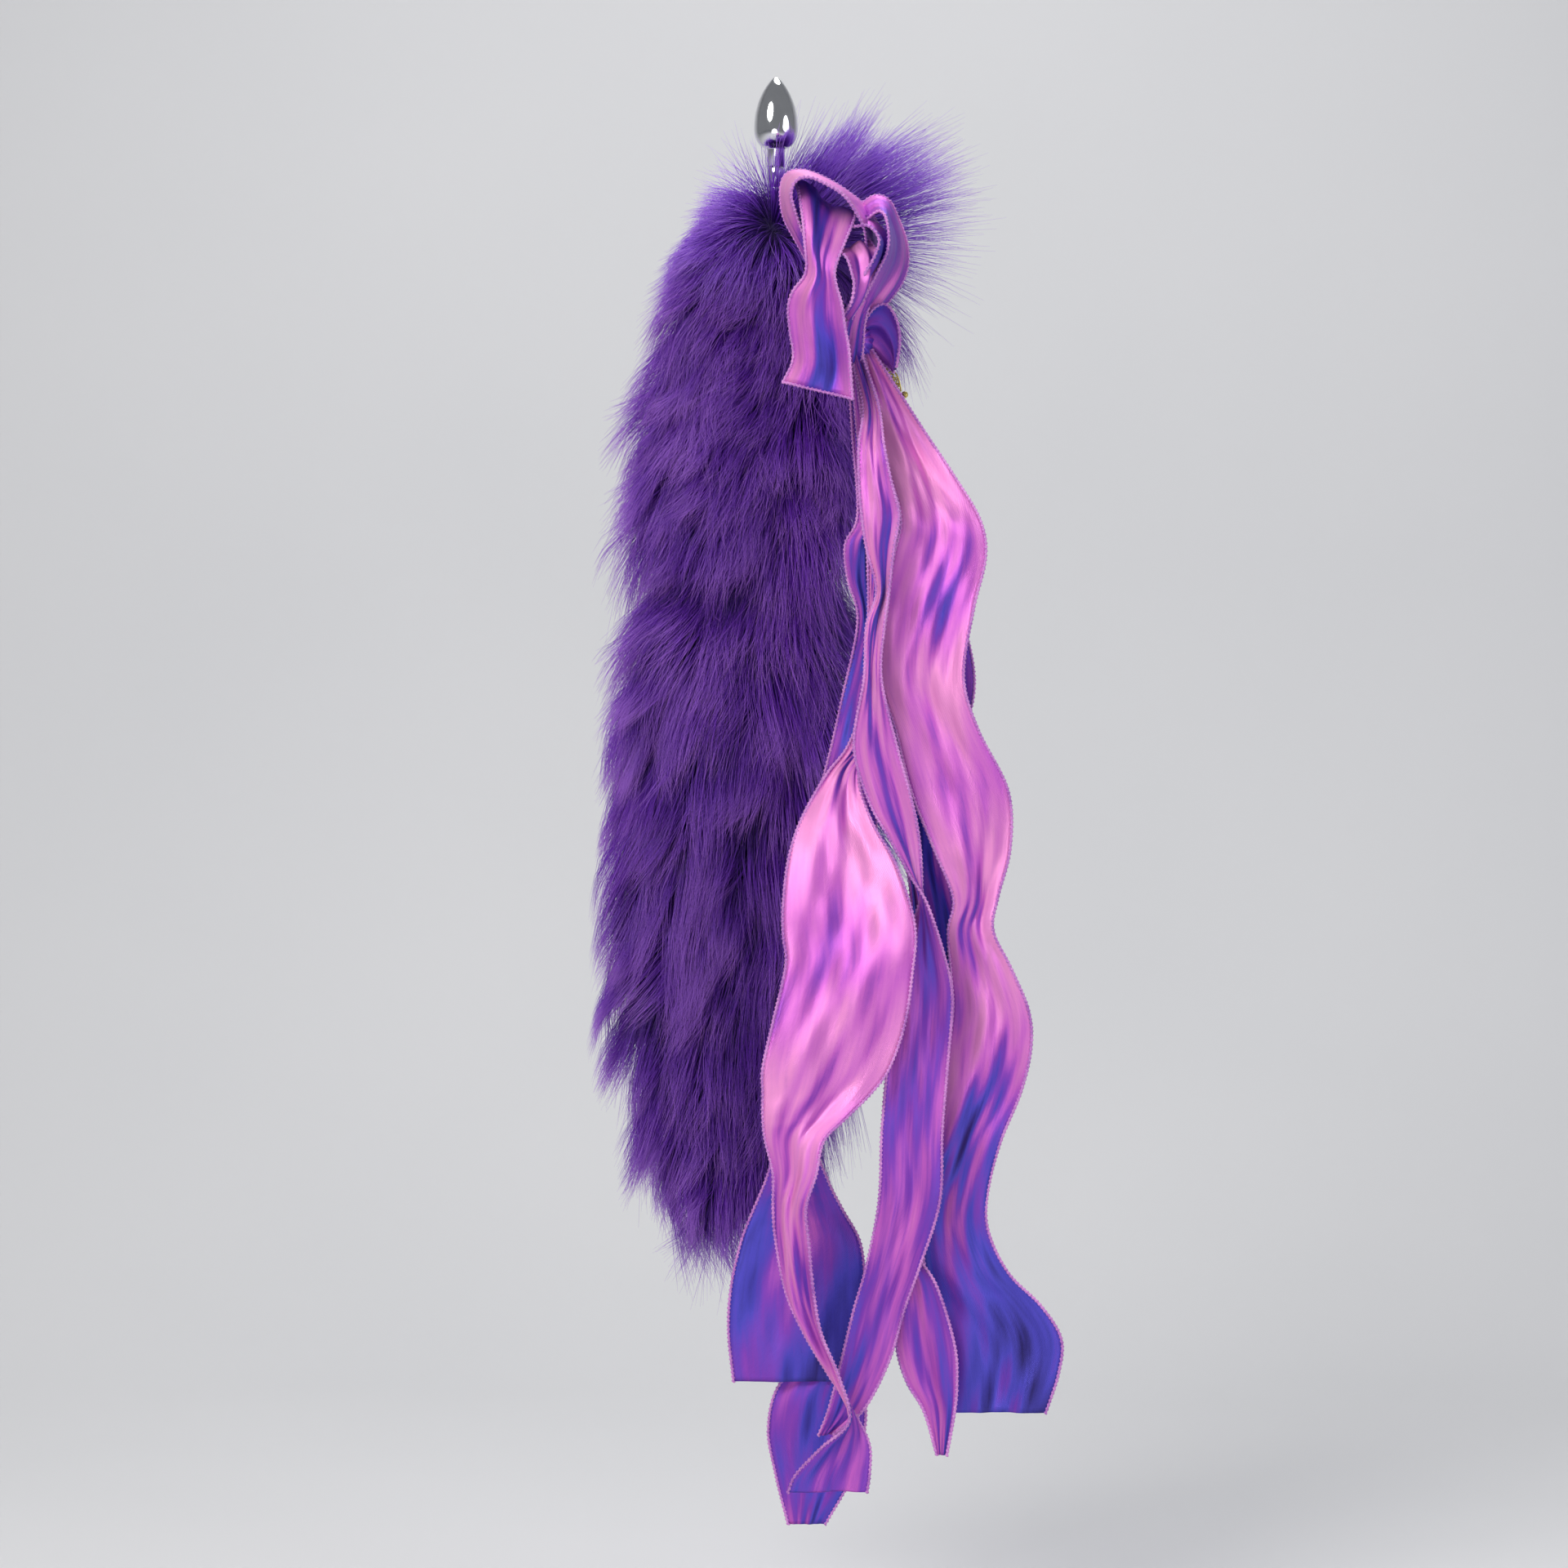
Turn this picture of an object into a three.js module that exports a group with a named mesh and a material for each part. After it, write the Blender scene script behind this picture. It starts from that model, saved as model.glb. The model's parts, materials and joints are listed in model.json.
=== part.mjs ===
// A dyed fur costume tail on a turned metal plug, with a wired-ribbon bow, long
// streamers and a small filigree charm. Millimetres, +Z up, the front faces -Y.
// The origin is on the plug's neck, where the tail is held and hangs from.
import * as THREE from 'three';

// ---- driving dimensions -------------------------------------------------------

const GAP = 0.3; // between pieces that touch

// plug
const BULB_LENGTH = 30; // tip to the start of the neck
const BULB_RADIUS = 9.2;
const NECK_RADIUS = 3.7;
const NECK_TOP_Z = -1.5;
const NECK_LENGTH = 8;
const SOCKET_DEPTH = 9;
const STUD_RADIUS = 2;
const SCREW_CLEARANCE = 0.3; // socket wall to stud

// ferrule
const FERRULE_RADIUS = 3.7;
const FERRULE_LENGTH = 10.2;
const FERRULE_WALL = 1.1;
const FERRULE_TOP_THICK = 3.4;
const STUD_HEAD_HEIGHT = 1.8;

// tail
const CORD_RADIUS = 2.2;
const UPPER_LENGTH = 150; // neck pivot to the bend pivot
const LOWER_LENGTH = 295; // bend pivot to the fur's bottom
const UPPER_LEAN = 6; // degrees, towards -X
const LOWER_LEAN = 1.5;
const HIDE_RADIUS = 9;
const HIDE_WALL = 2.2;
const CUFF_TOP = 4; // below the neck pivot, like the next three
const CUFF_BOTTOM = 10;
const HIDE_SHOULDER = 26;
const BINDING_TOP = 5.1;
const BINDING_HEIGHT = 4.4;
const HIDE_STOP = 5; // hide to the bend pivot
const BINDING_WALL = 1.1;
const UPPER_FUR_RADIUS = 43;
const LOWER_FUR_RADIUS = 47;
const SEAM_THREAD_RADIUS = 0.35;
const SEAM_PITCH = 9;
const CROWN_HEIGHT = 26; // fur ruff below the neck pivot
const CROWN_RISE = 13; // and above it
const PARTING = 18; // the two lengths of fur open this much at the bend
const LOWER_HIDE_SHORT = 52; // hide's end above the fur's bottom
const LOWER_CORD_SHORT = 60;

// ribbon and bow
const RIBBON_THICKNESS = 0.8;
const KNOT_RADIUS = 6.8;
const KNOT_LENGTH = 16;
const KNOT_GROOVE = 1.2; // how deep the tie wire lies in the knot
const KNOT_X = 33;
const KNOT_Z = -88;
const TIE_WIRE_RADIUS = 0.4;
const STREAMER_DROP = 10; // knot centre to where the streamers start
const LAYER_STEP = 3.2; // between ribbons lying one behind the other
const KNOT_SINK = 2; // how far the knot's centre sits back from the fur's front

// Each loop is an oval tube of ribbon. at is its centre from the knot's centre.
const BOW_LOOPS = {
  bow_loop_top: { halfX: 17.5, halfY: 14, length: 30.2, at: [-12.5, -14.5, 50], facing: true },
  bow_loop_lower_left: { halfX: 13, halfY: 8.5, length: 50, at: [-KNOT_RADIUS - 8.7, -13, -3] },
  bow_loop_right: { halfX: 7.5, halfY: 11, length: 46, at: [KNOT_RADIUS + 6.7, -4, 38] },
  bow_loop_lower_right: { halfX: 5, halfY: 4.6, length: 21.8, at: [KNOT_RADIUS + 6.2, -7.5, 2] },
  bow_loop_centre: { halfX: 5.5, halfY: 7, length: 24, at: [-0.5, -3, 21] },
};

// charm
const CHARM_WIRE_RADIUS = 0.35;
const JUMP_RING_RADIUS = 2.4;
const BAIL_RADIUS = 1.5;
const CHARM_LENGTH = 13;
const CHARM_WIDTH = 9;
const CHARM_THICKNESS = 1.1;
const BEAD_RADIUS = 1.5;

// ---- sizes that follow from them ----------------------------------------------

const NECK_BOTTOM_Z = NECK_TOP_Z - NECK_LENGTH;
const FERRULE_TOP_Z = NECK_BOTTOM_Z - GAP;
const FERRULE_BOTTOM_Z = FERRULE_TOP_Z - FERRULE_LENGTH;
const CORD_BORE_RADIUS = FERRULE_RADIUS - FERRULE_WALL;
const STUD_HEAD_TOP_Z = FERRULE_TOP_Z - FERRULE_TOP_THICK - GAP;
const CORD_END_BOTTOM_Z = FERRULE_BOTTOM_Z - GAP;
const NECK_PIVOT_Z = CORD_END_BOTTOM_Z - GAP - CORD_RADIUS;
const FUR_BORE_RADIUS = HIDE_RADIUS + 4 * SEAM_THREAD_RADIUS;
const FRONT_Y = -Math.max(UPPER_FUR_RADIUS, LOWER_FUR_RADIUS); // fur's front face
const KNOT_Y = FRONT_Y + KNOT_SINK;

const rad = THREE.MathUtils.degToRad;

// ---- finishes -----------------------------------------------------------------

const finish = (color, roughness, metalness) =>
  new THREE.MeshStandardMaterial({ color, roughness, metalness });

const STEEL = finish(0xd7dade, 0.12, 1);
const GOLD = finish(0xe0cb78, 0.3, 1);
const FUR = finish(0x4b12a0, 0.9, 0);
const HIDE = finish(0xcdb8d8, 0.8, 0);
const CORD = finish(0x3a2a55, 0.85, 0);
const THREAD = finish(0x2c0f52, 0.7, 0);
const RIBBON = finish(0xd070d6, 0.4, 0);

// ---- helpers ------------------------------------------------------------------

function piece(parent, name, geometry, material) {
  const mesh = new THREE.Mesh(geometry, material);
  mesh.name = name;
  parent.add(mesh);
  return mesh;
}

// A body of revolution about Z from [radius, z] pairs, listed bottom to top on the outside.
function turned(profile, segments = 24) {
  const points = profile.map(([radius, z]) => new THREE.Vector2(radius, z));
  return new THREE.LatheGeometry(points, segments).rotateX(Math.PI / 2);
}

// A ring-shaped body of revolution: the profile closes on itself.
function turnedRing(profile, segments = 24) {
  return turned([...profile, profile[0]], segments);
}

function polygon(radius, sides) {
  const points = [];
  for (let i = 0; i < sides; i += 1) {
    const t = (2 * Math.PI * i) / sides;
    points.push(new THREE.Vector2(radius * Math.cos(t), radius * Math.sin(t)));
  }
  return new THREE.Shape(points);
}

// A round rod along a list of points.
function rod(points, radius, steps, sides = 6) {
  const route = new THREE.CatmullRomCurve3(points.map((p) => new THREE.Vector3(...p)));
  const options = { extrudePath: route, steps, bevelEnabled: false };
  return new THREE.ExtrudeGeometry(polygon(radius, sides), options);
}

// A band of ribbon between two edges. Each station is [z, x1, x2, y1, y2]: the height,
// then where the first and the second edge are.
function band(stations, thickness, steps) {
  const edge = (x, y) =>
    new THREE.CatmullRomCurve3(stations.map((s) => new THREE.Vector3(s[x], s[y], s[0])));
  const first = edge(1, 3);
  const second = edge(2, 4);
  const positions = [];
  const indices = [];
  for (let step = 0; step <= steps; step += 1) {
    const t = step / steps;
    const a = first.getPoint(t);
    const b = second.getPoint(t);
    const along = first.getTangent(t).add(second.getTangent(t));
    const normal = along.cross(b.clone().sub(a)).setLength(thickness / 2);
    for (const [corner, side] of [[a, 1], [b, 1], [b, -1], [a, -1]]) {
      positions.push(...corner.clone().addScaledVector(normal, side).toArray());
    }
  }
  for (let step = 0; step < steps; step += 1) {
    for (let corner = 0; corner < 4; corner += 1) {
      const next = (corner + 1) % 4;
      const here = 4 * step;
      const there = here + 4;
      const [p, q, r, s] = [here + corner, there + corner, there + next, here + next];
      // both faces fold along the same diagonal, so they never cross
      indices.push(...(corner < 2 ? [p, q, r, p, r, s] : [p, q, s, q, r, s]));
    }
  }
  const last = 4 * steps;
  indices.push(0, 1, 2, 0, 2, 3, last, last + 2, last + 1, last, last + 3, last + 2);
  const geometry = new THREE.BufferGeometry();
  geometry.setAttribute('position', new THREE.Float32BufferAttribute(positions, 3));
  geometry.setIndex(indices);
  return geometry;
}

// A hollow loop of ribbon: an oval tube, its length along Z.
function loop(halfX, halfY, length) {
  const outline = new THREE.Shape().absellipse(0, 0, halfX, halfY, 0, 2 * Math.PI);
  const inner = new THREE.Path();
  inner.absellipse(0, 0, halfX - RIBBON_THICKNESS, halfY - RIBBON_THICKNESS, 0, 2 * Math.PI);
  outline.holes.push(inner);
  const options = { depth: length, bevelEnabled: false, curveSegments: 14 };
  return new THREE.ExtrudeGeometry(outline, options).translate(0, 0, -length / 2);
}

// ---- plug ---------------------------------------------------------------------

function buildPlug(parent) {
  const tipZ = NECK_TOP_Z + BULB_LENGTH;
  const widestZ = NECK_TOP_Z + 0.27 * BULB_LENGTH;
  const bore = STUD_RADIUS + SCREW_CLEARANCE;
  const profile = [[0, NECK_BOTTOM_Z + SOCKET_DEPTH], [bore, NECK_BOTTOM_Z + SOCKET_DEPTH]];
  profile.push([bore, NECK_BOTTOM_Z], [NECK_RADIUS, NECK_BOTTOM_Z], [NECK_RADIUS, NECK_TOP_Z]);
  const shoulderSteps = 4;
  for (let i = 1; i <= shoulderSteps; i += 1) {
    const t = (Math.PI / 2) * (i / shoulderSteps);
    const radius = NECK_RADIUS + (BULB_RADIUS - NECK_RADIUS) * Math.sin(t);
    profile.push([radius, NECK_TOP_Z + (widestZ - NECK_TOP_Z) * (1 - Math.cos(t))]);
  }
  const noseSteps = 9;
  for (let i = 1; i <= noseSteps; i += 1) {
    const t = i / noseSteps;
    const radius = BULB_RADIUS * Math.pow(1 - Math.pow(t, 2.1), 0.8);
    profile.push([i === noseSteps ? 0 : radius, widestZ + (tipZ - widestZ) * t]);
  }
  piece(parent, 'plug_body', turned(profile, 32), STEEL);
}

// ---- ferrule ------------------------------------------------------------------

function buildFerrule(parent) {
  const hole = STUD_RADIUS + GAP;
  const shoulderZ = FERRULE_TOP_Z - FERRULE_TOP_THICK;
  const wall = turnedRing([
    [FERRULE_RADIUS, FERRULE_BOTTOM_Z],
    [FERRULE_RADIUS, FERRULE_TOP_Z],
    [hole, FERRULE_TOP_Z],
    [hole, shoulderZ],
    [CORD_BORE_RADIUS, shoulderZ],
    [CORD_BORE_RADIUS, FERRULE_BOTTOM_Z],
  ]);
  piece(parent, 'ferrule', wall, STEEL);

  const studTop = NECK_BOTTOM_Z + SOCKET_DEPTH - 1;
  const headBottom = STUD_HEAD_TOP_Z - STUD_HEAD_HEIGHT;
  const headRadius = CORD_BORE_RADIUS - GAP / 2;
  const stud = turned([
    [0, headBottom],
    [headRadius, headBottom],
    [headRadius, STUD_HEAD_TOP_Z],
    [STUD_RADIUS, STUD_HEAD_TOP_Z],
    [STUD_RADIUS, studTop - 0.6],
    [STUD_RADIUS - 0.6, studTop],
    [0, studTop],
  ], 16);
  piece(parent, 'screw_stud', stud, STEEL);

  const cordTop = headBottom - GAP;
  const cordEnd = turned([
    [0, CORD_END_BOTTOM_Z],
    [CORD_RADIUS, CORD_END_BOTTOM_Z],
    [CORD_RADIUS, cordTop],
    [0, cordTop],
  ], 12);
  piece(parent, 'cord_end_in_ferrule', cordEnd, CORD);
}

// ---- tail ---------------------------------------------------------------------

// A length of core cord hanging from a pivot at z = 0, its top rounded about the pivot.
function hangingCord(length) {
  const profile = [[0, -length], [CORD_RADIUS, -length]];
  for (let i = 0; i <= 4; i += 1) {
    const t = (Math.PI / 2) * (i / 4);
    profile.push([i === 4 ? 0 : CORD_RADIUS * Math.cos(t), CORD_RADIUS * Math.sin(t)]);
  }
  return turned(profile, 12);
}

// Whip stitches that close the hide along its back, from one height down to another.
function seam(top, bottom) {
  const count = Math.floor((top - bottom) / SEAM_PITCH);
  const y = HIDE_RADIUS + 2 * SEAM_THREAD_RADIUS;
  const points = [];
  for (let i = 0; i <= 2 * count; i += 1) {
    points.push([i % 2 ? 1.1 : -1.1, y, top - (i * SEAM_PITCH) / 2]);
  }
  return rod(points, SEAM_THREAD_RADIUS, 4 * count, 5);
}

function buildUpperTail(parent) {
  const hideBottom = -UPPER_LENGTH + HIDE_STOP;
  const neckRadius = CORD_RADIUS + GAP + HIDE_WALL;
  piece(parent, 'core_cord_upper', hangingCord(UPPER_LENGTH - CORD_RADIUS - GAP), CORD);

  const hide = turnedRing([
    [HIDE_RADIUS, hideBottom],
    [HIDE_RADIUS, -HIDE_SHOULDER],
    [neckRadius, -CUFF_BOTTOM],
    [neckRadius, -CUFF_TOP],
    [CORD_RADIUS + GAP, -CUFF_TOP],
    [CORD_RADIUS + GAP, -CUFF_BOTTOM - 1],
    [HIDE_RADIUS - HIDE_WALL, -HIDE_SHOULDER - 2],
    [HIDE_RADIUS - HIDE_WALL, hideBottom],
  ]);
  piece(parent, 'hide_tube_upper', hide, HIDE);

  const bindingInner = neckRadius + GAP;
  const bindingOuter = bindingInner + BINDING_WALL;
  const binding = turnedRing([
    [bindingInner, -BINDING_TOP - BINDING_HEIGHT],
    [bindingOuter, -BINDING_TOP - BINDING_HEIGHT + 0.3],
    [bindingOuter, -BINDING_TOP - 0.3],
    [bindingInner, -BINDING_TOP],
  ]);
  piece(parent, 'neck_binding', binding, THREAD);
  piece(parent, 'hide_seam_upper', seam(-HIDE_SHOULDER - 4, hideBottom + 4), THREAD);

  const funnel = bindingOuter + 5.5;
  const crown = turnedRing([
    [FUR_BORE_RADIUS, -CROWN_HEIGHT],
    [UPPER_FUR_RADIUS - 2, -CROWN_HEIGHT],
    [UPPER_FUR_RADIUS - 3, -8],
    [UPPER_FUR_RADIUS - 9, 5],
    [UPPER_FUR_RADIUS - 20, CROWN_RISE - 1],
    [funnel + 4, CROWN_RISE],
    [funnel, CROWN_RISE - 5],
    [bindingOuter + 1, -8],
    [bindingOuter + 1, -12],
  ]);
  piece(parent, 'fur_crown', crown, FUR);

  const upper = turnedRing([
    [FUR_BORE_RADIUS, -UPPER_LENGTH + 3],
    [UPPER_FUR_RADIUS - 6, -UPPER_LENGTH + PARTING - 3],
    [UPPER_FUR_RADIUS, -UPPER_LENGTH + PARTING + 6],
    [UPPER_FUR_RADIUS, -70],
    [UPPER_FUR_RADIUS - 1, -CROWN_HEIGHT - GAP],
    [FUR_BORE_RADIUS, -CROWN_HEIGHT - GAP],
  ]);
  piece(parent, 'fur_upper', upper, FUR);
}

function buildLowerTail(parent) {
  const hideTop = -HIDE_STOP;
  const hideBottom = -LOWER_LENGTH + LOWER_HIDE_SHORT;
  piece(parent, 'core_cord_lower', hangingCord(LOWER_LENGTH - LOWER_CORD_SHORT), CORD);

  const hide = turnedRing([
    [HIDE_RADIUS - HIDE_WALL, hideBottom],
    [HIDE_RADIUS, hideBottom],
    [HIDE_RADIUS, hideTop],
    [HIDE_RADIUS - HIDE_WALL, hideTop],
  ]);
  piece(parent, 'hide_tube_lower', hide, HIDE);
  piece(parent, 'hide_seam_lower', seam(hideTop - 5, hideBottom + 4), THREAD);

  const furEnd = -LOWER_LENGTH;
  const boreEnd = hideBottom - 2;
  const lower = turned([
    [0, furEnd],
    [14, furEnd + 3],
    [28, furEnd + 15],
    [LOWER_FUR_RADIUS - 8, furEnd + 42],
    [LOWER_FUR_RADIUS - 2, furEnd + 95],
    [LOWER_FUR_RADIUS, furEnd + 175],
    [LOWER_FUR_RADIUS - 1, -60],
    [LOWER_FUR_RADIUS - 3, -28],
    [LOWER_FUR_RADIUS - 9, -16],
    [FUR_BORE_RADIUS, -3],
    [FUR_BORE_RADIUS, boreEnd],
    [0, boreEnd],
  ]);
  piece(parent, 'fur_lower', lower, FUR);
}

// ---- bow ----------------------------------------------------------------------

function buildBow(parent) {
  const half = KNOT_LENGTH / 2;
  const groove = KNOT_RADIUS - KNOT_GROOVE;
  const knot = turned([
    [0, -half],
    [KNOT_RADIUS - 2, -half],
    [KNOT_RADIUS, -half + 2.5],
    [KNOT_RADIUS, -1.6],
    [groove, -0.8],
    [groove, 0.8],
    [KNOT_RADIUS, 1.6],
    [KNOT_RADIUS, half - 2.5],
    [KNOT_RADIUS - 2, half],
    [0, half],
  ], 18);
  const knotMesh = piece(parent, 'bow_knot', knot, RIBBON);
  knotMesh.rotation.x = Math.PI / 2;
  knotMesh.position.set(KNOT_X, KNOT_Y, KNOT_Z);

  const wireRing = groove + GAP + TIE_WIRE_RADIUS;
  const wire = new THREE.TorusGeometry(wireRing, TIE_WIRE_RADIUS, 6, 24);
  const wireMesh = piece(parent, 'bow_tie_wire', wire, STEEL);
  wireMesh.rotation.x = Math.PI / 2;
  wireMesh.position.copy(knotMesh.position);

  const threadBack = KNOT_Y + half + GAP;
  const threadEnd = threadBack + 14;
  const thread = [[KNOT_X, threadBack, KNOT_Z], [KNOT_X - 1, (threadBack + threadEnd) / 2, KNOT_Z + 1]];
  thread.push([KNOT_X - 2, threadEnd, KNOT_Z]);
  piece(parent, 'bow_stitch_thread', rod(thread, 0.5, 6), THREAD);

  for (const [name, { halfX, halfY, length, at, facing }] of Object.entries(BOW_LOOPS)) {
    const ribbon = piece(parent, name, loop(halfX, halfY, length), RIBBON);
    ribbon.rotation.x = facing ? Math.PI / 2 : 0;
    ribbon.position.set(KNOT_X + at[0], KNOT_Y + at[1], KNOT_Z + at[2]);
  }
}

// ---- streamers ----------------------------------------------------------------

// Each streamer starts STREAMER_DROP under the knot's centre. Its stations are
// [drop, x1, x2, y1, y2]: how far below the knot's centre and how far right of it the
// two edges are, and how far in front of its own layer.
function streamer(parent, name, layerY, stations) {
  const placed = stations.map(([drop, x1, x2, y1, y2]) => [
    KNOT_Z - drop,
    KNOT_X + x1,
    KNOT_X + x2,
    layerY - y1,
    layerY - y2,
  ]);
  placed[0][0] = KNOT_Z - STREAMER_DROP;
  piece(parent, name, band(placed, RIBBON_THICKNESS, Math.round(1.5 * stations.length)), RIBBON);
}

function buildStreamers(parent) {
  const back = FRONT_Y - LAYER_STEP;
  const rightLayer = back - 4 * LAYER_STEP;
  const leftLayer = rightLayer - 1.5 * LAYER_STEP;
  const middleLayer = leftLayer - 2.5 * LAYER_STEP;

  streamer(parent, 'streamer_back', back, [
    [10, -3, 2, -12, -12], [27, 0, 8, -9, -9], [60, 2, 11, -5, -5], [100, 11, 37, 0, 0],
    [135, 14, 47, 0, 2], [165, 14, 42, 2, 0], [205, 20, 38, 0, 0], [242, 28, 44, 0, 1],
    [262, 24, 39, 1, 0], [312, 13, 29, 0, 0], [344, 11, 27, 0, 1], [370, 5, 23, 0, 0],
    [388, -1, 17, 1, 0], [407, -14, 12, 0, 0], [420, -31, 4, 0, 1], [438, -36, 3, 1, 0],
    [457, -33, -2, 0, 1], [477, -28, -13, 0, 0],
  ]);
  streamer(parent, 'streamer_back_left', back - LAYER_STEP, [
    [10, -4, 1, -13, -13], [37, -2, 7, -8.5, -8.5], [70, 0, 12, -1, -1], [82, -5, 12, 0, 0],
    [96, -4, 11, 0, 0], [113, 0, 11, 1, 0], [143, -6, 11, 0, 1], [173, -13, 9, 0, 0],
    [206, -23, 7, 1, 0], [256, -28, 5, 0, 0], [307, -31, -9, 0, 1], [324, -33, -16, 0, 0],
    [338, -37, -12, 1, 0], [350, -42, -6, 0, 0], [363, -47, 1, 0, 1], [381, -51, 3, 1, 0],
    [399, -52, 3, 0, 1], [419, -50, 0, 0, 0],
  ]);
  streamer(parent, 'streamer_right', rightLayer, [
    [10, 1, 7, -19.5, -19.5], [33, 7, 25, -16, -17], [55, 13, 39, -5, -8], [73, 17, 49, 3, -2],
    [88, 14, 51, 2, -1], [109, 10, 46, 0, 2], [136, 9, 42, -1, 3], [157, 15, 48, 0, 2],
    [181, 21, 60, 2, -1], [204, 30, 61, 3, -2], [224, 42, 55, 2, -2], [237, 48, 53, 0, 0],
    [252, 44, 61, -3, 3], [269, 40, 68, -2, 3], [284, 37, 69, -1, 2], [302, 34, 65, 0, 0],
    [322, 30, 57, 2, -2], [342, 26, 52, 2, -3], [357, 25, 52, 1, -2], [374, 27, 60, 0, 0],
    [387, 30, 73, -2, 2], [400, 33, 81, -2, 3], [414, 36, 80, -2, 2], [430, 38, 75, 0, 0],
  ]);
  streamer(parent, 'streamer_left', leftLayer, [
    [10, -3, 3, -21.5, -21.5], [37, 0, 8, -19.5, -18], [72, 3, 13, -3, -3], [112, 4, 9, 0, 0],
    [144, 2, 8, 0, 0], [163, -4, 5, 0, 0], [175, -13, 0, 2, 2], [193, -23, 5, 9, 8],
    [209, -28, 14, 14, 13], [226, -30, 20, 17, 19], [238, -30, 22, 18, 22],
    [250, -29, 21, 20, 23], [272, -34, 18, 22, 20], [290, -38, 12, 22, 18],
    [300, -38, 5, 21, 17], [310, -38, -5, 20, 18], [319, -37, -14, 18, 20],
    [332, -34, -17, 17, 22], [345, -34, -21, 17, 23], [358, -33, -20, 18, 23],
    [378, -29, -18, 20, 24], [394, -22, -15, 21, 25], [411, -12, -8, 20, 25],
    [428, -6, 0, 22, 21], [439, -15, 4, 23, 19], [450, -25, 4, 21, 19],
    [457, -28, 3, 20, 20],
  ]);
  streamer(parent, 'streamer_middle', middleLayer, [
    [10, -3, 1, -25, -25], [27, 2, 8, -11, -11], [44, 0, 10, -1, -1], [59, 0, 13, 1, 0],
    [72, 1, 16, 2, 0], [85, 3, 14, 1, 0], [102, 7, 12, 0, 0], [116, 3, 10, 1, 0],
    [137, 2, 9, 2, 0], [163, -2, 15, 1, -1], [185, 4, 21, 0, 0], [200, 12, 24, 1, -2],
    [214, 19, 25, 1, 0], [228, 22, 28, 0, 1], [247, 17, 34, 0, 2], [264, 14, 37, 1, 0],
    [293, 11, 35, 1, -1], [317, 9, 33, 2, 0], [344, 8, 32, 0, 2], [370, 3, 24, -1, 1],
    [387, -2, 18, 0, 0], [407, -7, 12, 2, 1], [426, -12, 2, 3, 2], [436, -16, -10, 4, 3],
  ]);
  streamer(parent, 'streamer_small', middleLayer + LAYER_STEP, [
    [10, -2, 2, -24, -24], [37, 2, 7, -8, -8], [72, 4, 12, 0, 0], [102, 8, 12, 0, 0],
    [137, 4, 8, 0, 0], [163, 3, 12, 0, 0], [190, 10, 18, -1, -1], [216, 20, 24, -3, -3],
    [247, 20, 30, -1, -1], [293, 15, 31, 0, 0], [344, 12, 27, 0, 0], [362, 13, 22, 0, 0],
    [378, 15, 31, -1, 0], [401, 15, 38, -2, 1], [416, 19, 39, -2, 2], [428, 26, 38, -1, 2],
    [445, 31, 35, 0, 1],
  ]);
}

// ---- charm --------------------------------------------------------------------

function buildCharm(parent) {
  const pivot = new THREE.Vector3(KNOT_X + 6.5, KNOT_Y + KNOT_LENGTH / 2 + 3.4, KNOT_Z - 8);
  const ringGeometry = new THREE.TorusGeometry(JUMP_RING_RADIUS, CHARM_WIRE_RADIUS, 6, 18);
  const ring = piece(parent, 'charm_jump_ring', ringGeometry, GOLD);
  ring.rotation.y = Math.PI / 2;
  ring.position.set(pivot.x, pivot.y, pivot.z + JUMP_RING_RADIUS);

  const hung = new THREE.Group();
  hung.position.copy(pivot);
  hung.rotation.y = rad(-48);
  parent.add(hung);
  const reach = BAIL_RADIUS - CHARM_WIRE_RADIUS - GAP / 2;
  const bailGeometry = new THREE.TorusGeometry(BAIL_RADIUS, CHARM_WIRE_RADIUS, 6, 16);
  const bail = piece(hung, 'charm_bail', bailGeometry, GOLD);
  bail.rotation.x = Math.PI / 2;
  bail.position.z = -reach + 0.4;

  const leafTop = bail.position.z - BAIL_RADIUS - CHARM_WIRE_RADIUS - GAP;
  const leaf = new THREE.Shape();
  leaf.moveTo(0, 0);
  leaf.quadraticCurveTo(CHARM_WIDTH * 0.75, -CHARM_LENGTH * 0.35, 0, -CHARM_LENGTH);
  leaf.quadraticCurveTo(-CHARM_WIDTH * 0.75, -CHARM_LENGTH * 0.35, 0, 0);
  for (const share of [0.32, 0.52, 0.7]) {
    const hole = new THREE.Path();
    hole.absarc(0, -CHARM_LENGTH * share, CHARM_WIDTH * 0.11, 0, 2 * Math.PI, false);
    leaf.holes.push(hole);
  }
  const leafOptions = { depth: CHARM_THICKNESS, bevelEnabled: false, curveSegments: 8 };
  const leafGeometry = new THREE.ExtrudeGeometry(leaf, leafOptions);
  const pendant = piece(hung, 'charm_filigree', leafGeometry, GOLD);
  pendant.rotation.x = Math.PI / 2;
  pendant.position.set(0, CHARM_THICKNESS / 2, leafTop);

  const bead = piece(hung, 'charm_bead', new THREE.SphereGeometry(BEAD_RADIUS, 10, 8), GOLD);
  bead.position.z = leafTop - CHARM_LENGTH - GAP - BEAD_RADIUS;
}

// ---- assembly -----------------------------------------------------------------

const group = new THREE.Group();
buildPlug(group);
buildFerrule(group);

const upperTail = new THREE.Group();
upperTail.position.z = NECK_PIVOT_Z;
upperTail.rotation.y = rad(UPPER_LEAN);
buildUpperTail(upperTail);
group.add(upperTail);

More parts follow.
